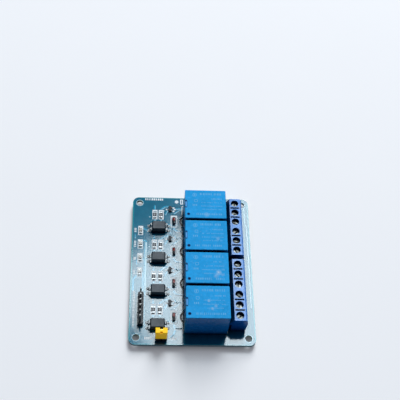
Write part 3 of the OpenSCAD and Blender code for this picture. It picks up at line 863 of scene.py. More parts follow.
@dataclass(frozen=True)
class Paper(Finish):
    """Matt white table paper with a barely visible tooth.

    What looks at it or mirrors it sees the pale paper. Scattered light finds a darker one, so
    that upright faces keep their depth.
    """

    colour: Colour = (0.91, 0.915, 0.94)
    dim: float = 0.25
    painted_glow: float = 0.22
    reach: float = 5.0

    def wire(self, graph: Graph) -> None:
        """Wires the paper's faint clouding and tooth, its two strengths and its painted glow and
        shadow.
        """
        path = graph.add("LightPath").outputs
        seen = graph.sum("MAXIMUM", path["Is Camera Ray"],
                         graph.sum("MAXIMUM", path["Is Glossy Ray"],
                                   path["Is Transmission Ray"]))
        cloud = graph.spread(graph.noise(40.0, 4.0), 0.3, 0.7)
        pale = tuple(min(c * 1.008, 1.0) for c in self.colour)
        dim = tuple(c * self.dim * tint for c, tint in zip(self.colour, (0.6, 0.9, 1.3)))
        lit, pale = (tuple(c * (1 - self.painted_glow) for c in tone) for tone in (self.colour, pale))
        base = graph.blend(seen, dim, graph.blend(cloud, lit, pale))
        # Painted glow for what looks at the paper, dimmed close to other surfaces: a painted shadow
        # round and under the board.
        open_share = graph.add("AmbientOcclusion", {"Distance": self.reach * MM},
                               samples=6).outputs["AO"]
        painted_glow = graph.spread(open_share, 0.1, 0.75, 0.03, self.painted_glow)
        graph.surface(Base_Color=base, Roughness=0.9, Specular_IOR_Level=0.1,
                      Emission_Color=self.colour,
                      Emission_Strength=graph.sum("MULTIPLY", seen, painted_glow),
                      Normal=graph.bump(graph.noise(0.5, 3.0), 0.01))


# Finishes of this board's parts. Those with a crevice setting darken close to other surfaces:
# painted shade.
MASK = MaskedBoard("solder_mask")
MASKED_COPPER = MaskedCopper("masked_copper")
MASKED_POUR = MaskedCopper("masked_pour", colour=(0.02, 0.20, 0.30), deep=(0.015, 0.15, 0.24))
# Pale finish: a painted highlight along the tracks, and pale rims round the vias and holes.
EDGE_GLINT_AND_RIM = MaskedCopper("edge_glint_and_rim", colour=(0.55, 0.8, 0.88), deep=(0.4, 0.66, 0.76),
                         roughness=0.2)
# Dark finish: lines of painted shade on the mask, and the plugs of the vias.
DARK_MASK = MaskedCopper("dark_mask", colour=(0.004, 0.09, 0.14), deep=(0.002, 0.05, 0.08),
                           specular=0.1)
PRINT = PrintInk("white_print")
CASE_MARK = PrintInk("case_mark", colour=shade(104, 178, 228), ground=shade(45, 152, 218),
                     thin=0.7, roughness=0.7)
CASE_SHADE = PrintInk("case_shade", colour=shade(14, 62, 122), ground=shade(22, 92, 165),
                      thin=0.6, roughness=0.7)
CASE_GLINT = PrintInk("case_glint", colour=shade(84, 158, 222), ground=shade(52, 138, 212),
                      thin=0.6, roughness=0.6)
CASE_BLUE = MouldedPlastic(
    "case_blue", colour=(0.014, 0.335, 0.74), roughness=0.62, side_roughness=0.25,
    specular=0.2, grain=0.012,
    grain_period=0.3, mottle=0.12, dust=0.14, crevice_shade=0.97, reach=4.5,
    smudges=(Smudge(6.1, 18.8, 1.5, 0.45), Smudge(10.9, 6.2, 1.1, 0.35),
             Smudge(10.7, -11.0, 1.5, 0.8), Smudge(9.6, -12.4, 1.4, 0.35),
             Smudge(12.5, -12.0, 0.9, 0.4), Smudge(6.1, -24.4, 0.9, 0.7),
             Smudge(7.5, -28.1, 0.9, 0.6), Smudge(9.0, -26.8, 1.0, 0.4)))
BASE_DARK = MouldedPlastic("base_dark", colour=(0.01, 0.014, 0.022), roughness=0.6,
                           crevice_shade=0.9)
TERMINAL_BLUE = MouldedPlastic("terminal_blue", colour=(0.003, 0.19, 0.62), roughness=0.24,
                               specular=0.4, grain=0.006, grain_period=0.5, dust=0.05,
                               crevice_shade=0.95, reach=6.0)
TIN = Metal("tin", colour=(0.45, 0.45, 0.44), tarnish=(0.2, 0.19, 0.18), roughness=0.45)
LEAD = Metal("plated_lead", colour=(0.16, 0.165, 0.17), tarnish=(0.06, 0.06, 0.06),
             roughness=0.32, tarnish_share=0.6)
SOLDER = Metal("solder", colour=(0.32, 0.33, 0.34), tarnish=(0.14, 0.14, 0.14), roughness=0.28,
               ripple=0.02, ripple_period=0.8)
BRASS = Metal("brass", colour=(0.78, 0.6, 0.3), tarnish=(0.35, 0.24, 0.12), roughness=0.32)
CLAMP_STEEL = Metal("clamp_steel", colour=(0.6, 0.6, 0.6), tarnish=(0.3, 0.3, 0.3))
SCREW_STEEL = Metal("screw_steel", colour=(0.42, 0.43, 0.41), tarnish=(0.18, 0.19, 0.18),
                    roughness=0.5, tarnish_share=0.7)
BLACK_RESIN = MouldedPlastic("black_resin", colour=(0.05, 0.06, 0.072), roughness=0.42,
                             specular=0.4, grain=0.01, grain_period=0.18, mottle=0.25,
                             dust=0.12, crevice_shade=0.9, reach=4.0)
CHIP_BLACK = MouldedPlastic("chip_black", colour=(0.018, 0.018, 0.024), roughness=0.4,
                            specular=0.3, grain=0.004, dust=0.05)
HEADER_BLACK = MouldedPlastic("header_black", colour=(0.012, 0.012, 0.018), roughness=0.4,
                              specular=0.45, dust=0.08, crevice_shade=0.9, reach=2.0)
LAMP_WHITE = MouldedPlastic("lamp_white", colour=(0.80, 0.81, 0.78), roughness=0.5)
# The cap's emission is painted light.
JUMPER_YELLOW = MouldedPlastic("jumper_yellow", colour=(0.95, 0.56, 0.004), roughness=0.35,
                               specular=0.15, grain=0.006, dust=0.03, glow=0.2, painted_glow=0.3)
DIODE_GLASS = ColouredGlass("diode_glass", colour=(0.42, 0.05, 0.045), streak=(0.2, 0.02, 0.02),
                            transmission=0.25)
DIODE_BAND = MouldedPlastic("diode_band", colour=(0.012, 0.01, 0.01), roughness=0.3)
DIE_BROWN = MouldedPlastic("die_brown", colour=(0.25, 0.17, 0.13), roughness=0.5)
LAMP_LENS = ColouredGlass("lamp_lens", colour=(0.95, 0.95, 0.9), streak=(0.9, 0.88, 0.8),
                          transmission=0.7, roughness=0.15)
PAPER = Paper("table_paper")


class Layer(Enum):
    """Thin layers on a board face, as their lowest and highest level above it."""

    COPPER = (0.0004, 0.006)
    PAD = (0.0004, 0.010)
    PRINT = (0.0004, 0.013)


# ---------------------------------------------------------------------------- the board


@dataclass
class CircuitBoard:
    """The board's own surface work: tracks, pads, plated rims, print and mounting holes."""

    frame: Frame
    hole_d: float = 3.1
    track: float = 0.7
    fine_track: float = 0.4
    line: float = 0.2

    def __post_init__(self) -> None:
        """Reads the levels and places that the layers start from."""
        self.box = node_box("circuit_board")
        self.top = float(self.box.high[2])
        self.under = float(self.box.low[2])
        self.channels = [float(node_box(f"relay_case_{n}").middle[1]) for n in range(1, 5)]
        self.relay_left = float(node_box("relay_case_1").low[0])
        self.optos = [node_box(f"optocoupler_{n}") for n in range(1, 5)]
        self.resistors = self.ends_of("resistor_caps")
        self.lamps = self.ends_of("indicator_caps")
        self.diodes = self.ends_of("diode_caps")
        self.header = self.frame.solids("control_pins")
        self.jumper = self.frame.solids("jumper_pins")

    def ends_of(self, node: str) -> list[Box]:
        """Boxes of two-ended parts, each from the pair of its end caps.

        Args:
            node: The node that holds the caps.

        Returns:
            One box for each part, from rear to front and then left to right.
        """
        caps = self.frame.solids(node)
        boxes = []
        for cap in caps:
            partner = [other for other in caps
                       if abs(other.middle[0] - cap.middle[0]) < 0.1
                       and 0.5 < cap.middle[1] - other.middle[1] < 4.5]
            if partner:
                boxes.append(Box(partner[0].low, cap.high))
        return sorted(boxes, key=lambda box: (-round(box.middle[1], 1), box.middle[0]))

    def level(self, layer: Layer, below: bool = False) -> tuple[float, float]:
        """Lowest and highest level of a layer on the board's top face or under it."""
        low, high = layer.value
        return (self.under - high, self.under - low) if below else (self.top + low,
                                                                    self.top + high)

    def build(self) -> None:
        """Dresses the board and adds every layer."""
        self.frame.dress(MASK, "circuit_board")
        self.tracks()
        self.pads()
        self.solder()
        self.print_lines()
        self.underside()

    def channel_paths(self, number: int) -> list[tuple[list[Point], float]]:
        """Tracks of one channel, from the resistors, the transistor, the diode and the optocoupler.

        Args:
            number: Channel, from 0 at the rear.

        Returns:
            Path and width of each track.
        """
        y = self.channels[number]
        wide, fine = self.track, self.fine_track
        paths = [
            ([(-17.3, 6.4), (-17.3, 8.7)], wide), ([(-17.2, 1.9), (-17.2, 0.6)], wide),
            ([(-14.3, 1.9), (-14.3, 0.6)], wide),
            ([(-14.4, 6.6), (-12.6, 8.3), (-11.2, 8.6)], wide),
            ([(-12.1, 4.0), (-11.2, 6.2)], fine),
            ([(-8.2, 6.8), (-5.6, 7.4), (-4.2, 7.4)], wide),
            ([(-8.0, 4.5), (-5.6, 6.5), (-4.2, 6.8)], fine),
            ([(-10.8, -2.0), (-6.9, -1.8)], 0.9),
            ([(-8.1, -3.0), (-8.0, -4.4), (-6.8, -5.3), (-4.0, -5.4)], wide),
            ([(-7.8, -8.0), (-6.9, -9.5), (-4.0, -9.5)], fine),
            ([(-10.7, -5.6), (-9.3, -6.6)], fine),
        ]
        if number == 3:
            paths = paths[:9] + [([(-8.0, -5.2), (-4.0, -5.4)], fine),
                                 ([(-7.6, -6.1), (-8.2, -8.3), (-9.3, -9.4)], wide)]
        return [([(px, y + py) for px, py in path], width) for path, width in paths]

    def long_paths(self) -> list[tuple[list[Point], float]]:
        """Tracks that leave the lamps, run down the left side and end at the control header."""
        wide, fine = self.track, self.fine_track
        return [
            ([(-22.4, 20.4), (-20.9, 19.6), (-20.2, 19.2)], wide),
            ([(-22.8, 13.8), (-21.4, 13.8), (-20.95, 13.2)], wide),
            ([(-21.1, -12.6), (-21.1, -28.0), (-20.6, -29.5)], fine),
            ([(-21.6, 12.9), (-21.6, 1.0)], 0.3),
            ([(-22.3, -3.0), (-22.3, -12.0)], 0.3),
            ([(-21.6, 0.4), (-21.6, -12.0)], 0.3),
            ([(-24.9, -4.8), (-26.4, -6.4), (-26.4, -12.0)], wide),
            ([(-26.2, 17.0), (-26.2, 15.2)], fine),
            ([(-25.1, 3.4), (-25.1, 1.2)], fine),
            ([(-22.6, 4.4), (-21.9, 3.6)], fine),
            ([(-18.3, -30.6), (-16.6, -32.2), (-16.6, -33.2)], fine),
            ([(-8.0, -33.5), (-8.9, -34.3), (-9.6, -35.2)], fine),
        ]

    def tracks(self) -> None:
        """Tracks and filled areas under the mask, a painted highlight at their edges, and lines of
        painted shade.
        """
        low, high = self.level(Layer.COPPER)
        paths = [path for n in range(4) for path in self.channel_paths(n)] + self.long_paths()
        make_piece("board_tracks", Skin.joined(ribbon(path, width, low, high)
                                               for path, width in paths),
                   MASKED_COPPER)
        # Painted highlights: pale ribbons just off each track, and two longer pale bands.
        edges = [ribbon([(x + 0.07, y - 0.13) for x, y in path], width, low, high - 0.0015)
                 for path, width in paths]
        edges += [ribbon([(-20.95, 13.2), (-20.95, -12.0), (-21.1, -12.6), (-21.1, -28.0)],
                         0.5, low, high - 0.001),
                  ribbon([(25.7, 33.0), (25.7, 24.0), (26.4, 22.0), (26.4, -20.0)], 0.3, low,
                         high - 0.001)]
        make_piece("track_glints", Skin.joined(edges), EDGE_GLINT_AND_RIM)
        pours, dark_lines = [], []
        for y in self.channels:
            block = np.array([(-7.2, y - 8.6), (-3.75, y - 8.6), (-3.75, y - 6.3),
                              (-6.4, y - 6.3), (-7.2, y - 7.0)])
            pours.append(plate(block, low, high - 0.003))
            # Painted shade: dark lines beside each relay and short dark ticks.
            dark_lines.append(ribbon([(-3.95, y + 8.2), (-3.95, y - 8.2)], 0.22, low, high - 0.002))
            dark_lines.append(ribbon([(-9.7, y + 3.0), (-8.6, y + 4.0)], 0.2, low, high - 0.002))
            for x in (-12.6, -19.4):
                dark_lines.append(ribbon([(x, y - 8.0), (x + 0.9, y - 7.2)], 0.22, low,
                                      high - 0.002))
        make_piece("board_pours", Skin.joined(pours), MASKED_POUR)
        make_piece("dark_mask_lines", Skin.joined(dark_lines), DARK_MASK)

    def vias(self) -> list[Point]:
        """Places of the plated through holes that join the two faces."""
        spots = [(-6.1, 1.9), (-5.0, -8.8), (-9.9, -4.7), (-12.9, 6.0), (-19.6, 2.4)]
        return [(x, y + dy) for y in self.channels for x, dy in spots if y + dy > -31]

    def pads(self) -> None:
        """Bare tinned pads, rims of the plated holes, and bright rings at the mounting holes."""
        low, high = self.level(Layer.PAD)
        skins = []
        for foot in self.feet():
            skins.append(plate(rounded_bar(*foot.middle[:2], *(foot.size[:2] + [0.5, 0.2]), 0.1),
                               low, high))
        for box in self.resistors + self.lamps + self.diodes:
            for y in (box.low[1] + 0.1, box.high[1] - 0.1):
                skins.append(plate(rounded_bar(box.middle[0], y, box.size[0] + 0.1, 1.0, 0.1),
                                   low, high))
        for box in self.header + self.jumper:
            skins.append(frame_ring(disc(*box.middle[:2], 0.95), disc(*box.middle[:2], 0.5),
                                    low, high))
        make_piece("board_pads", Skin.joined(skins), TIN)
        rims = [frame_ring(disc(x, y, 0.32, 14), disc(x, y, 0.16, 14), low, high)
                for x, y in self.vias()]
        make_piece("via_rims", Skin.joined(rims), EDGE_GLINT_AND_RIM)
        plugs = [plate(disc(x, y, 0.15, 12), low, high - 0.006) for x, y in self.vias()]
        make_piece("via_plugs", Skin.joined(plugs), DARK_MASK)
        halos = [frame_ring(disc(sx * 24.45, sy * 34.65, 2.1, 40),
                            disc(sx * 24.45, sy * 34.65, self.hole_d / 2 + 0.12, 40), low, high)
                 for sx in (-1, 1) for sy in (-1, 1)]
        make_piece("hole_halos", Skin.joined(halos), MASKED_POUR)
        lips = [frame_ring(disc(sx * 24.45, sy * 34.65, self.hole_d / 2 + 0.2, 40),
                           disc(sx * 24.45, sy * 34.65, self.hole_d / 2 + 0.02, 40), low,
                           high + 0.002)
                for sx in (-1, 1) for sy in (-1, 1)]
        make_piece("hole_lips", Skin.joined(lips), EDGE_GLINT_AND_RIM)

    def feet(self) -> list[Box]:
        """The ends of the gull-wing leads that lie on the board."""
        boxes = []
        for n in range(1, 5):
            body = self.optos[n - 1]
            for lead in self.frame.solids(f"optocoupler_leads_{n}"):
                outer = lead.low[0] if lead.middle[0] < body.middle[0] else lead.high[0]
                inner = outer + math.copysign(0.75, lead.middle[0] - outer)
                low = np.array([min(outer, inner), lead.low[1], lead.low[2]])
                high = np.array([max(outer, inner), lead.high[1], lead.low[2] + 0.3])
                boxes.append(Box(low, high))
        return boxes + self.frame.solids("transistor_leads")

    def solder(self) -> None:
        """Solder round every foot and end cap, each as a low mound beside the metal."""
        low = self.top + Layer.PAD.value[1]
        skins = [mound(*foot.middle[:2], foot.size[0] + 0.35, foot.size[1] + 0.15, low,
                       0.22, fullness=0.5) for foot in self.feet()]
        for box in self.resistors + self.lamps + self.diodes:
            for y in (box.low[1] - 0.08, box.high[1] + 0.08):
                skins.append(mound(box.middle[0], y, box.size[0] - 0.1, 0.62, low, 0.3))
        make_piece("surface_solder", Skin.joined(skins), SOLDER, smooth=True)

    def outline(self, x0: float, y0: float, x1: float, y1: float, width: float) -> Skin:
        """Printed line of some width inside the edge of a rectangle.

        Args:
            x0: Left edge.
            y0: Front edge.
            x1: Right edge.
            y1: Rear edge.
            width: Width of the line.

        Returns:
            The line, closed all round.
        """
        x, y, w, h = (x0 + x1) / 2, (y0 + y1) / 2, x1 - x0, y1 - y0
        return frame_ring(rounded_bar(x, y, w, h, 0.15),
                          rounded_bar(x, y, w - 2 * width, h - 2 * width, 0.08),
                          *self.level(Layer.PRINT))

    def bars(self, x0: float, x1: float, y: float, height: float, stride: float,
             seed: int, turned: bool = False) -> list[Skin]:
        """A row of plain bars, as wide as they happen to fall, that stands for a label.

        Args:
            x0: Start of the row.
            x1: End of the row.
            y: Middle line of the row.
            height: Height of the bars.
            stride: From one bar to the next.
            seed: Seed of the widths.
            turned: Whether the row runs along Y.

        Returns:
            The bars.
        """
        rng = np.random.default_rng(seed)
        skins = []
        for x in np.arange(x0, x1 - 0.3 * stride, stride):
            length = stride * float(rng.uniform(0.45, 0.78))
            place = (y, x + length / 2, height, length) if turned else (x + length / 2, y,
                                                                       length, height)
            skins.append(plate(rounded_bar(*place, 0.06, steps=3), *self.level(Layer.PRINT)))
        return skins

    def print_lines(self) -> None:
        """White outlines round the parts, the lines beside the relays and generic labels."""
        low, high = self.level(Layer.PRINT)
        skins = []
        for box in self.resistors:
            x, y = box.middle[0] + 0.1, box.middle[1] + 0.35
            skins.append(self.outline(x - 1.2, y - 2.65, x + 1.2, y + 2.65, 0.4))
            skins += [plate(rounded_bar(x, y + side * 2.15, 1.8, 0.6, 0.05), low, high - 0.002)
                      for side in (-1, 1)]
        for box in self.lamps:
            x, y = box.middle[0] - 0.1, box.middle[1] - 0.1
            skins.append(self.outline(x - 1.15, y - 2.5, x + 1.15, y + 2.5, 0.3))
            skins.append(plate(rounded_bar(x, y + 2.1, 1.7, 0.5, 0.05), low, high - 0.002))
        for box in self.diodes:
            x, y = box.middle[0], box.middle[1]
            skins.append(self.outline(x - 1.55, y - 3.3, x + 1.55, y + 3.3, 0.42))
            skins.append(plate(rounded_bar(x, y + 2.6, 2.2, 0.8, 0.05), low, high - 0.002))
        for n, y in enumerate(self.channels):
            skins.append(ribbon([(-4.25, y + 8.7), (-4.25, y + 4.1)], 0.3, low, high))
            skins.append(ribbon([(-4.25, y - 3.9), (-4.25, y - 7.9)], 0.26, low, high))
            skins.append(ribbon([(-4.25, y + 8.7), (-3.8, y + 8.7)], 0.3, low, high))
            skins.append(ribbon([(-7.4, y - 5.75), (-4.4, y - 5.8)], 0.3, low, high))
            skins += [plate(rounded_bar(px, y + 6.7 + py, 0.9, 0.75, 0.15), low, high)
                      for px, py in ((-8.3, 0.95), (-8.3, -0.95), (-11.5, 0.0), (-7.7, 0.1))]
        for n, (y0, y1) in enumerate(((18.3, 20.8), (10.4, 13.4), (3.6, 5.5), (-3.9, -1.6))):
            skins += self.bars(y0, y1, -26.1, 1.0, 0.85, 70 + n, turned=True)
        skins += self.bars(-21.9, -12.9, 36.9, 1.15, 1.0, 60)
        skins.append(plate(disc(-6.8, 35.7, 0.9), low, high))
        skins.append(self.outline(-5.1, 34.3, -3.75, 37.1, 0.45))
        skins += self.bars(-29.5, -12.2, -25.8, 0.9, 0.72, 61, turned=True)
        skins += self.bars(-20.8, -17.4, -34.9, 1.2, 0.85, 62)
        skins += self.bars(-9.9, -7.2, -35.1, 1.1, 0.8, 63)
        skins.append(ribbon([(24.15, 35.7), (24.15, 32.9)], 0.5, low, high))
        skins.append(ribbon([(24.3, 32.6), (24.3, -26.4), (23.3, -28.4), (16.4, -28.4)], 0.3,
                            low, high))
        make_piece("board_print", Skin.joined(skins), PRINT)

    def underside(self) -> None:
        """Rings round every soldered pin, and wide tracks from the relays to the terminals."""
        low, high = self.level(Layer.PAD, below=True)
        pins = [box for node in ("relay_solder", "terminal_solder", "header_solder")
                for box in self.frame.solids(node)]
        rings = [frame_ring(disc(*box.middle[:2], box.size[0] / 2 + 0.35, 20),
                            disc(*box.middle[:2], box.size[0] / 2 - 0.1, 20), low, high)
                 for box in pins]
        make_piece("under_rings", Skin.joined(rings), TIN)
        low, high = self.level(Layer.COPPER, below=True)
        paths: list[tuple[list[Point], float]] = []
        for y in self.channels:
            paths += [([(12.2, y + 6.0), (16.2, y + 4.4), (19.9, y + 4.4)], 2.6),
                      ([(-2.0, y), (2.5, y - 0.6), (19.9, y - 0.6)], 2.6),
                      ([(12.2, y - 6.0), (16.2, y - 5.6), (19.9, y - 5.6)], 2.6),
                      ([(-0.1, y + 6.0), (-6.1, y + 1.9)], 0.8),
                      ([(-0.1, y - 6.0), (-5.0, y - 8.8)], 0.8),
                      ([(-9.9, y - 4.7), (-18.0, y - 4.7), (-25.6, y - 8.0)], 0.5)]
        paths += [([(-25.6, 20.0), (-25.6, -27.0), (-22.8, -28.0)], 0.8),
                  ([(-20.0, 30.0), (-20.0, -12.0), (-22.8, -15.3)], 0.6),
                  ([(-22.8, -17.8), (-18.0, -20.0), (-15.0, -35.0)], 0.6),
                  ([(-12.3, -35.0), (-6.0, -33.0), (0.0, -32.5)], 0.8)]
        make_piece("under_tracks", Skin.joined(ribbon(path, width, low, high)
                                               for path, width in paths),
                   MASKED_COPPER)


# ---------------------------------------------------------------------------- parts


@dataclass
class Relay:
    """One sealed relay."""

    frame: Frame
    number: int

    def build(self) -> None:
        """Dresses the case, its base plate and its pins, and marks the top."""
        n = self.number
        self.frame.dress(CASE_BLUE, f"relay_case_{n}")
        self.frame.dress(BASE_DARK, f"relay_base_{n}")
        self.frame.dress(LEAD, f"relay_pins_{n}")
        self.box = node_box(f"relay_case_{n}")
        self.marks()
        self.shades()

    def marks(self) -> None:
        """Generic marks on the case's top: rows of plain bars, a ring with a bar in it, a square and
        three short bars.
        """
        top = float(self.box.high[2])
        low, high = top + 0.0004, top + 0.003
        x0, y = float(self.box.low[0]), float(self.box.middle[1])
        rows = [
            (5.5, 6.9, 16.6, 1.15, 0.72), (2.9, 12.3, 16.8, 0.75, 0.6),
            (0.8, 7.6, 16.9, 0.5, 0.5), (-1.1, 7.4, 17.0, 0.5, 0.52),
            (-2.9, 8.0, 16.6, 0.5, 0.5), (-5.5, 4.4, 17.2, 1.0, 0.8),
        ]
        rng = np.random.default_rng(40 + self.number)
        skins = []
        for dy, start, end, height, stride in rows:
            for x in np.arange(start, end, stride):
                length = stride * float(rng.uniform(0.3, 0.62))
                if rng.uniform() > 0.14:
                    skins.append(plate(rounded_bar(x0 + x + length / 2, y + dy, length, height,
                                                   0.08, steps=3), low, high))
        cx, cy = x0 + 4.5, y + 5.0
        skins.append(frame_ring(disc(cx, cy, 1.0), disc(cx, cy, 0.78), low, high))
        skins.append(plate(rounded_bar(cx, cy, 0.5, 1.2, 0.1), low, high))
        cx, cy = x0 + 5.0, y + 1.8
        skins.append(frame_ring(rounded_bar(cx, cy, 1.5, 1.5, 0.3),
                                rounded_bar(cx, cy, 1.08, 1.08, 0.15), low, high))
        for x in (3.7, 4.5, 5.3):
            skins.append(plate(rounded_bar(x0 + x, y - 0.6, 0.42, 0.95, 0.1), low, high))
        make_piece(f"relay_marks_{self.number}", Skin.joined(skins), CASE_MARK)

    def shades(self) -> None:
        """Painted shade round the vent and the left edge's notch, and a painted highlight on its
        floor.
        """
        top = float(self.box.high[2])
        low, high = top + 0.0004, top + 0.003
        x0, y = float(self.box.low[0]), float(self.box.middle[1])
        vent = frame_ring(disc(x0 + 1.55, y - 5.55, 0.72), disc(x0 + 1.55, y - 5.55, 0.42), low,
                          high)
        tick = plate(rounded_bar(x0 + 0.62, y + 1.65, 0.8, 0.5, 0.15, -25), low, high)
        side = plate(rounded_bar(x0 + 0.98, y - 0.2, 0.14, 2.9, 0.05), low, high)
        make_piece(f"relay_shades_{self.number}", Skin.joined([vent, tick, side]), CASE_SHADE)
        # Painted highlight: the paler floor of the notch.
        lit_floor = plate(rounded_bar(x0 + 0.5, y - 0.2, 0.7, 2.9, 0.25), low, high - 0.001)
        make_piece(f"relay_glints_{self.number}", lit_floor, CASE_GLINT)


@dataclass
class TerminalBlock:
    """One three-pole screw terminal block."""

    frame: Frame
    number: int

    def build(self) -> None:
        """Dresses the housing, contacts, cages and screws."""
        n = self.number
        self.frame.dress(TERMINAL_BLUE, f"terminal_housing_{n}")
        self.frame.dress(BRASS, f"terminal_contacts_{n}")
        self.frame.dress(CLAMP_STEEL, f"clamp_cages_{n}")
        self.frame.dress(SCREW_STEEL, f"clamp_screws_{n}")


@dataclass
class Optocoupler:
    """One four-lead optocoupler."""

    frame: Frame
    number: int

    def build(self) -> None:
        """Dresses body and leads."""
        n = self.number
        self.frame.dress(BLACK_RESIN, f"optocoupler_{n}")
        self.frame.dress(LEAD, f"optocoupler_leads_{n}")


@dataclass
class SmallParts:
    """Resistors, transistors, diodes and indicator lamps of the four channels."""

    frame: Frame
    board: CircuitBoard

    def build(self) -> None:
        """Dresses every small part and adds its marks, bands and dies."""
        self.frame.dress(CHIP_BLACK, "chip_resistors")
        self.frame.dress(SOLDER, "resistor_caps", "indicator_caps")
        self.frame.dress(LEAD, "diode_caps", "transistor_leads")
        self.frame.dress(CHIP_BLACK, "transistors")
        self.frame.dress(DIODE_GLASS, "diode_glasses")
        self.frame.dress(LAMP_WHITE, "indicator_bases")
        self.frame.dress(LAMP_LENS, "indicator_lenses")
        self.resistor_marks()
        self.diode_bands()
        self.lamp_dies()

    def resistor_marks(self) -> None:
        """Two short pale strokes on every resistor."""
        skins = []
        for box in self.frame.solids("chip_resistors"):
            x, y, top = box.middle[0], box.middle[1], box.high[2]
            for dy in (-0.42, 0.0, 0.42):
                skins.append(plate(rounded_bar(x + 0.1 * dy, y + dy, 0.62, 0.16, 0.06), top + 0.0004,
                                   top + 0.004))
        make_piece("resistor_marks", Skin.joined(skins), PRINT)

    def diode_bands(self) -> None:
        """Dark band round the front part of every diode's glass."""
        skins = []
        for box in self.frame.solids("diode_glasses"):
            radius = float(box.size[0]) / 2 + 0.004
            y0 = float(box.low[1])
            profile = np.array([(radius - 0.003, 0.05), (radius, 0.06), (radius, 1.15),
                                (radius - 0.003, 1.16)])
            band = revolved(0.0, 0.0, profile)
            lying = band.points[:, [0, 2, 1]] * [1, 1, -1]
            skins.append(Skin(lying + [box.middle[0], y0, box.middle[2]], band.quads,
                              band.tris).outward())
        make_piece("diode_bands", Skin.joined(skins), DIODE_BAND, smooth=True)

    def lamp_dies(self) -> None:
        """Two small dark squares under the clear top of every lamp."""
        skins = []
        for box in self.frame.solids("indicator_lenses"):
            x, y, low = box.middle[0], box.middle[1], box.low[2]
            for dx, dy in ((-0.12, -0.55), (0.1, 0.45)):
                skins.append(plate(rounded_bar(x + dx, y + dy, 0.42, 0.36, 0.05), low + 0.001,
                                   low + 0.08))
        make_piece("lamp_dies", Skin.joined(skins), DIE_BROWN)


@dataclass
class Headers:
    """Control header, jumper header and jumper."""

    frame: Frame
    tip: float = 0.35

    def build(self) -> None:
        """Dresses bases, pins, cap and clip, and puts pale tin on the pins' cut ends: a painted
        highlight.
        """
        self.frame.dress(HEADER_BLACK, "control_header", "jumper_header")
        self.frame.dress(LEAD, "control_pins", "jumper_pins")
        self.frame.dress(JUMPER_YELLOW, "jumper_cap")
        self.frame.dress(BRASS, "jumper_clip")
        # Painted highlight: pale tin on the pins' cut ends.
        skins = []
        for box in self.frame.solids("control_pins"):
            x, y, top = box.middle[0], box.middle[1], box.high[2]
            skins.append(plate(rounded_bar(x, y, 0.56, 0.56, 0.08), top + 0.0004,
                               top + 0.01))
        make_piece("pin_end_glints", Skin.joined(skins), TIN)


@dataclass
class SolderSide:
    """The joints under the board."""

    frame: Frame

    def build(self) -> None:
        """Dresses the fillets."""
        self.frame.dress(SOLDER, "relay_solder", "terminal_solder", "header_solder")


# ---------------------------------------------------------------------------- the studio


@dataclass(frozen=True)
class Lamp:
    """Soft box that faces the middle of the board.

    Its direction is given by slopes: how far it lies towards +X and +Y for one step up.
    """

    name: str
    slope_x: float
    slope_y: float
    distance: float
    width: float
    length: float
    turn: float
    share: float
    colour: Colour = (1.0, 1.0, 1.0)
    seen_by_gloss: bool = True
    seen_by_diffuse: bool = True

    def place(self) -> None:
        """Adds the lamp, with its power from its share of the light on level paper."""
        towards = Vector((self.slope_x, self.slope_y, 1.0)).normalized()
        data = bpy.data.lights.new(self.name, "AREA")
        data.shape = "RECTANGLE"
        data.size, data.size_y = self.width, self.length
        data.color = self.colour
        data.energy = self.share * math.pi ** 2 * self.distance ** 2 / towards.z
        lamp = bpy.data.objects.new(self.name, data)
        side = Vector((1.0, 0.0, 0.0))
        side = (side - towards * side.dot(towards)).normalized()
        rows = Matrix((side, towards.cross(side), towards)).transposed()
        turn = Matrix.Rotation(math.radians(self.turn), 3, "Z")
        lamp.matrix_world = Matrix.LocRotScale(towards * self.distance,
                                               (rows @ turn).to_quaternion(), None)
        lamp.visible_glossy = self.seen_by_gloss
        lamp.visible_diffuse = self.seen_by_diffuse
        bpy.context.scene.collection.objects.link(lamp)


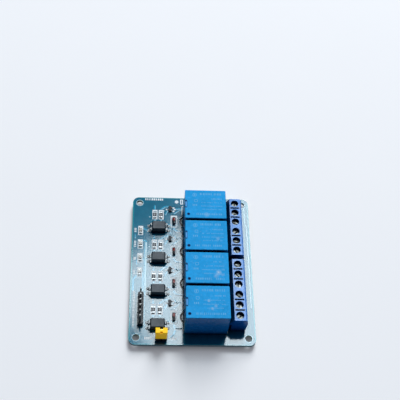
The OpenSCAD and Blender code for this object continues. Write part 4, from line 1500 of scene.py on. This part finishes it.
@dataclass
class Studio:
    """Paper sweep, soft boxes, surrounding light and camera."""

    deck: float
    azimuth: float = -7.04
    elevation: float = 55.99
    roll: float = 7.21
    distance: float = 369.94
    target: Point = (4.54, 37.17)
    focal: float = 763.5
    half_floor: float = 3.0

    def build(self) -> None:
        """Places everything that stands round the board."""
        self.floor()
        for lamp in (
            Lamp("key_box", 0.146, 0.4735, 2.0, 0.592, 0.60, 34.0, 0.36, (0.86, 0.96, 1.0)),
            Lamp("high_box", 0.03, 0.10, 2.2, 0.66, 0.70, 0.0, 0.05, seen_by_gloss=False),
            Lamp("rear_box", 0.22, 1.05, 2.4, 1.2, 1.6, 0.0, 0.54, seen_by_gloss=False),
        ):
            lamp.place()
        self.world()
        self.camera()

    def floor(self) -> None:
        """A level sheet of paper at the height of the solder tails."""
        ticks = np.linspace(-self.half_floor, self.half_floor, 5) / MM
        x, y = np.meshgrid(ticks, ticks, indexing="ij")
        points = np.stack([x, y, 0 * x], -1).reshape(-1, 3)
        mesh = bpy.data.meshes.new("table")
        mesh.from_pydata((points * MM).tolist(), [],
                         grid_quads(5, 5, False, False)[:, ::-1].tolist())
        mesh.materials.append(PAPER.material())
        floor = bpy.data.objects.new("table", mesh)
        bpy.context.scene.collection.objects.link(floor)

    def world(self) -> None:
        """Dim cool light from all round, and the pale paper colour for what looks past it."""
        world = bpy.data.worlds.new("room")
        world.use_nodes = True
        tree = world.node_tree
        tree.nodes.clear()
        path = tree.nodes.new("ShaderNodeLightPath")
        dim = tree.nodes.new("ShaderNodeBackground")
        dim.inputs[0].default_value = (0.016, 0.032, 0.07, 1.0)
        pale = tree.nodes.new("ShaderNodeBackground")
        pale.inputs[0].default_value = (0.86, 0.9, 0.945, 1.0)
        mix = tree.nodes.new("ShaderNodeMixShader")
        output = tree.nodes.new("ShaderNodeOutputWorld")
        tree.links.new(path.outputs["Is Camera Ray"], mix.inputs[0])
        tree.links.new(dim.outputs[0], mix.inputs[1])
        tree.links.new(pale.outputs[0], mix.inputs[2])
        tree.links.new(mix.outputs[0], output.inputs[0])
        bpy.context.scene.world = world

    def camera(self) -> None:
        """Camera above the front edge, turned and rolled to the viewing angle.

        Its back axis is (sin a cos e, -cos a cos e, sin e) for azimuth a and elevation e, and
        the roll turns its right and up axes about that one.
        """
        a, e, r = (math.radians(v) for v in (self.azimuth, self.elevation, self.roll))
        back = Vector((math.sin(a) * math.cos(e), -math.cos(a) * math.cos(e), math.sin(e)))
        right = Vector((math.cos(a), math.sin(a), 0.0))
        up = back.cross(right)
        rolled_right = right * math.cos(r) + up * math.sin(r)
        rolled_up = up * math.cos(r) - right * math.sin(r)
        place = Vector((self.target[0], self.target[1], self.deck)) + back * self.distance
        data = bpy.data.cameras.new("camera")
        data.sensor_width = 36.0
        data.lens = self.focal * 36.0 / 400.0
        data.clip_start = 0.01
        camera = bpy.data.objects.new("camera", data)
        rows = Matrix((rolled_right, rolled_up, back)).transposed()
        camera.matrix_world = Matrix.LocRotScale(place * MM, rows.to_quaternion(), None)
        bpy.context.scene.collection.objects.link(camera)
        bpy.context.scene.camera = camera
        bpy.context.scene.view_settings.view_transform = "Standard"


def main() -> None:
    """Builds the finishes and surface work in order."""
    logging.basicConfig(level=logging.INFO, format="%(name)s: %(message)s")
    frame = Frame(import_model()["nodes"])
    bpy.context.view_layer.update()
    board = CircuitBoard(frame)
    Studio(board.top).build()
    board.build()
    for number in range(1, 5):
        Relay(frame, number).build()
        TerminalBlock(frame, number).build()
        Optocoupler(frame, number).build()
    SmallParts(frame, board).build()
    Headers(frame).build()
    SolderSide(frame).build()


if __name__ == "__main__":
    main()
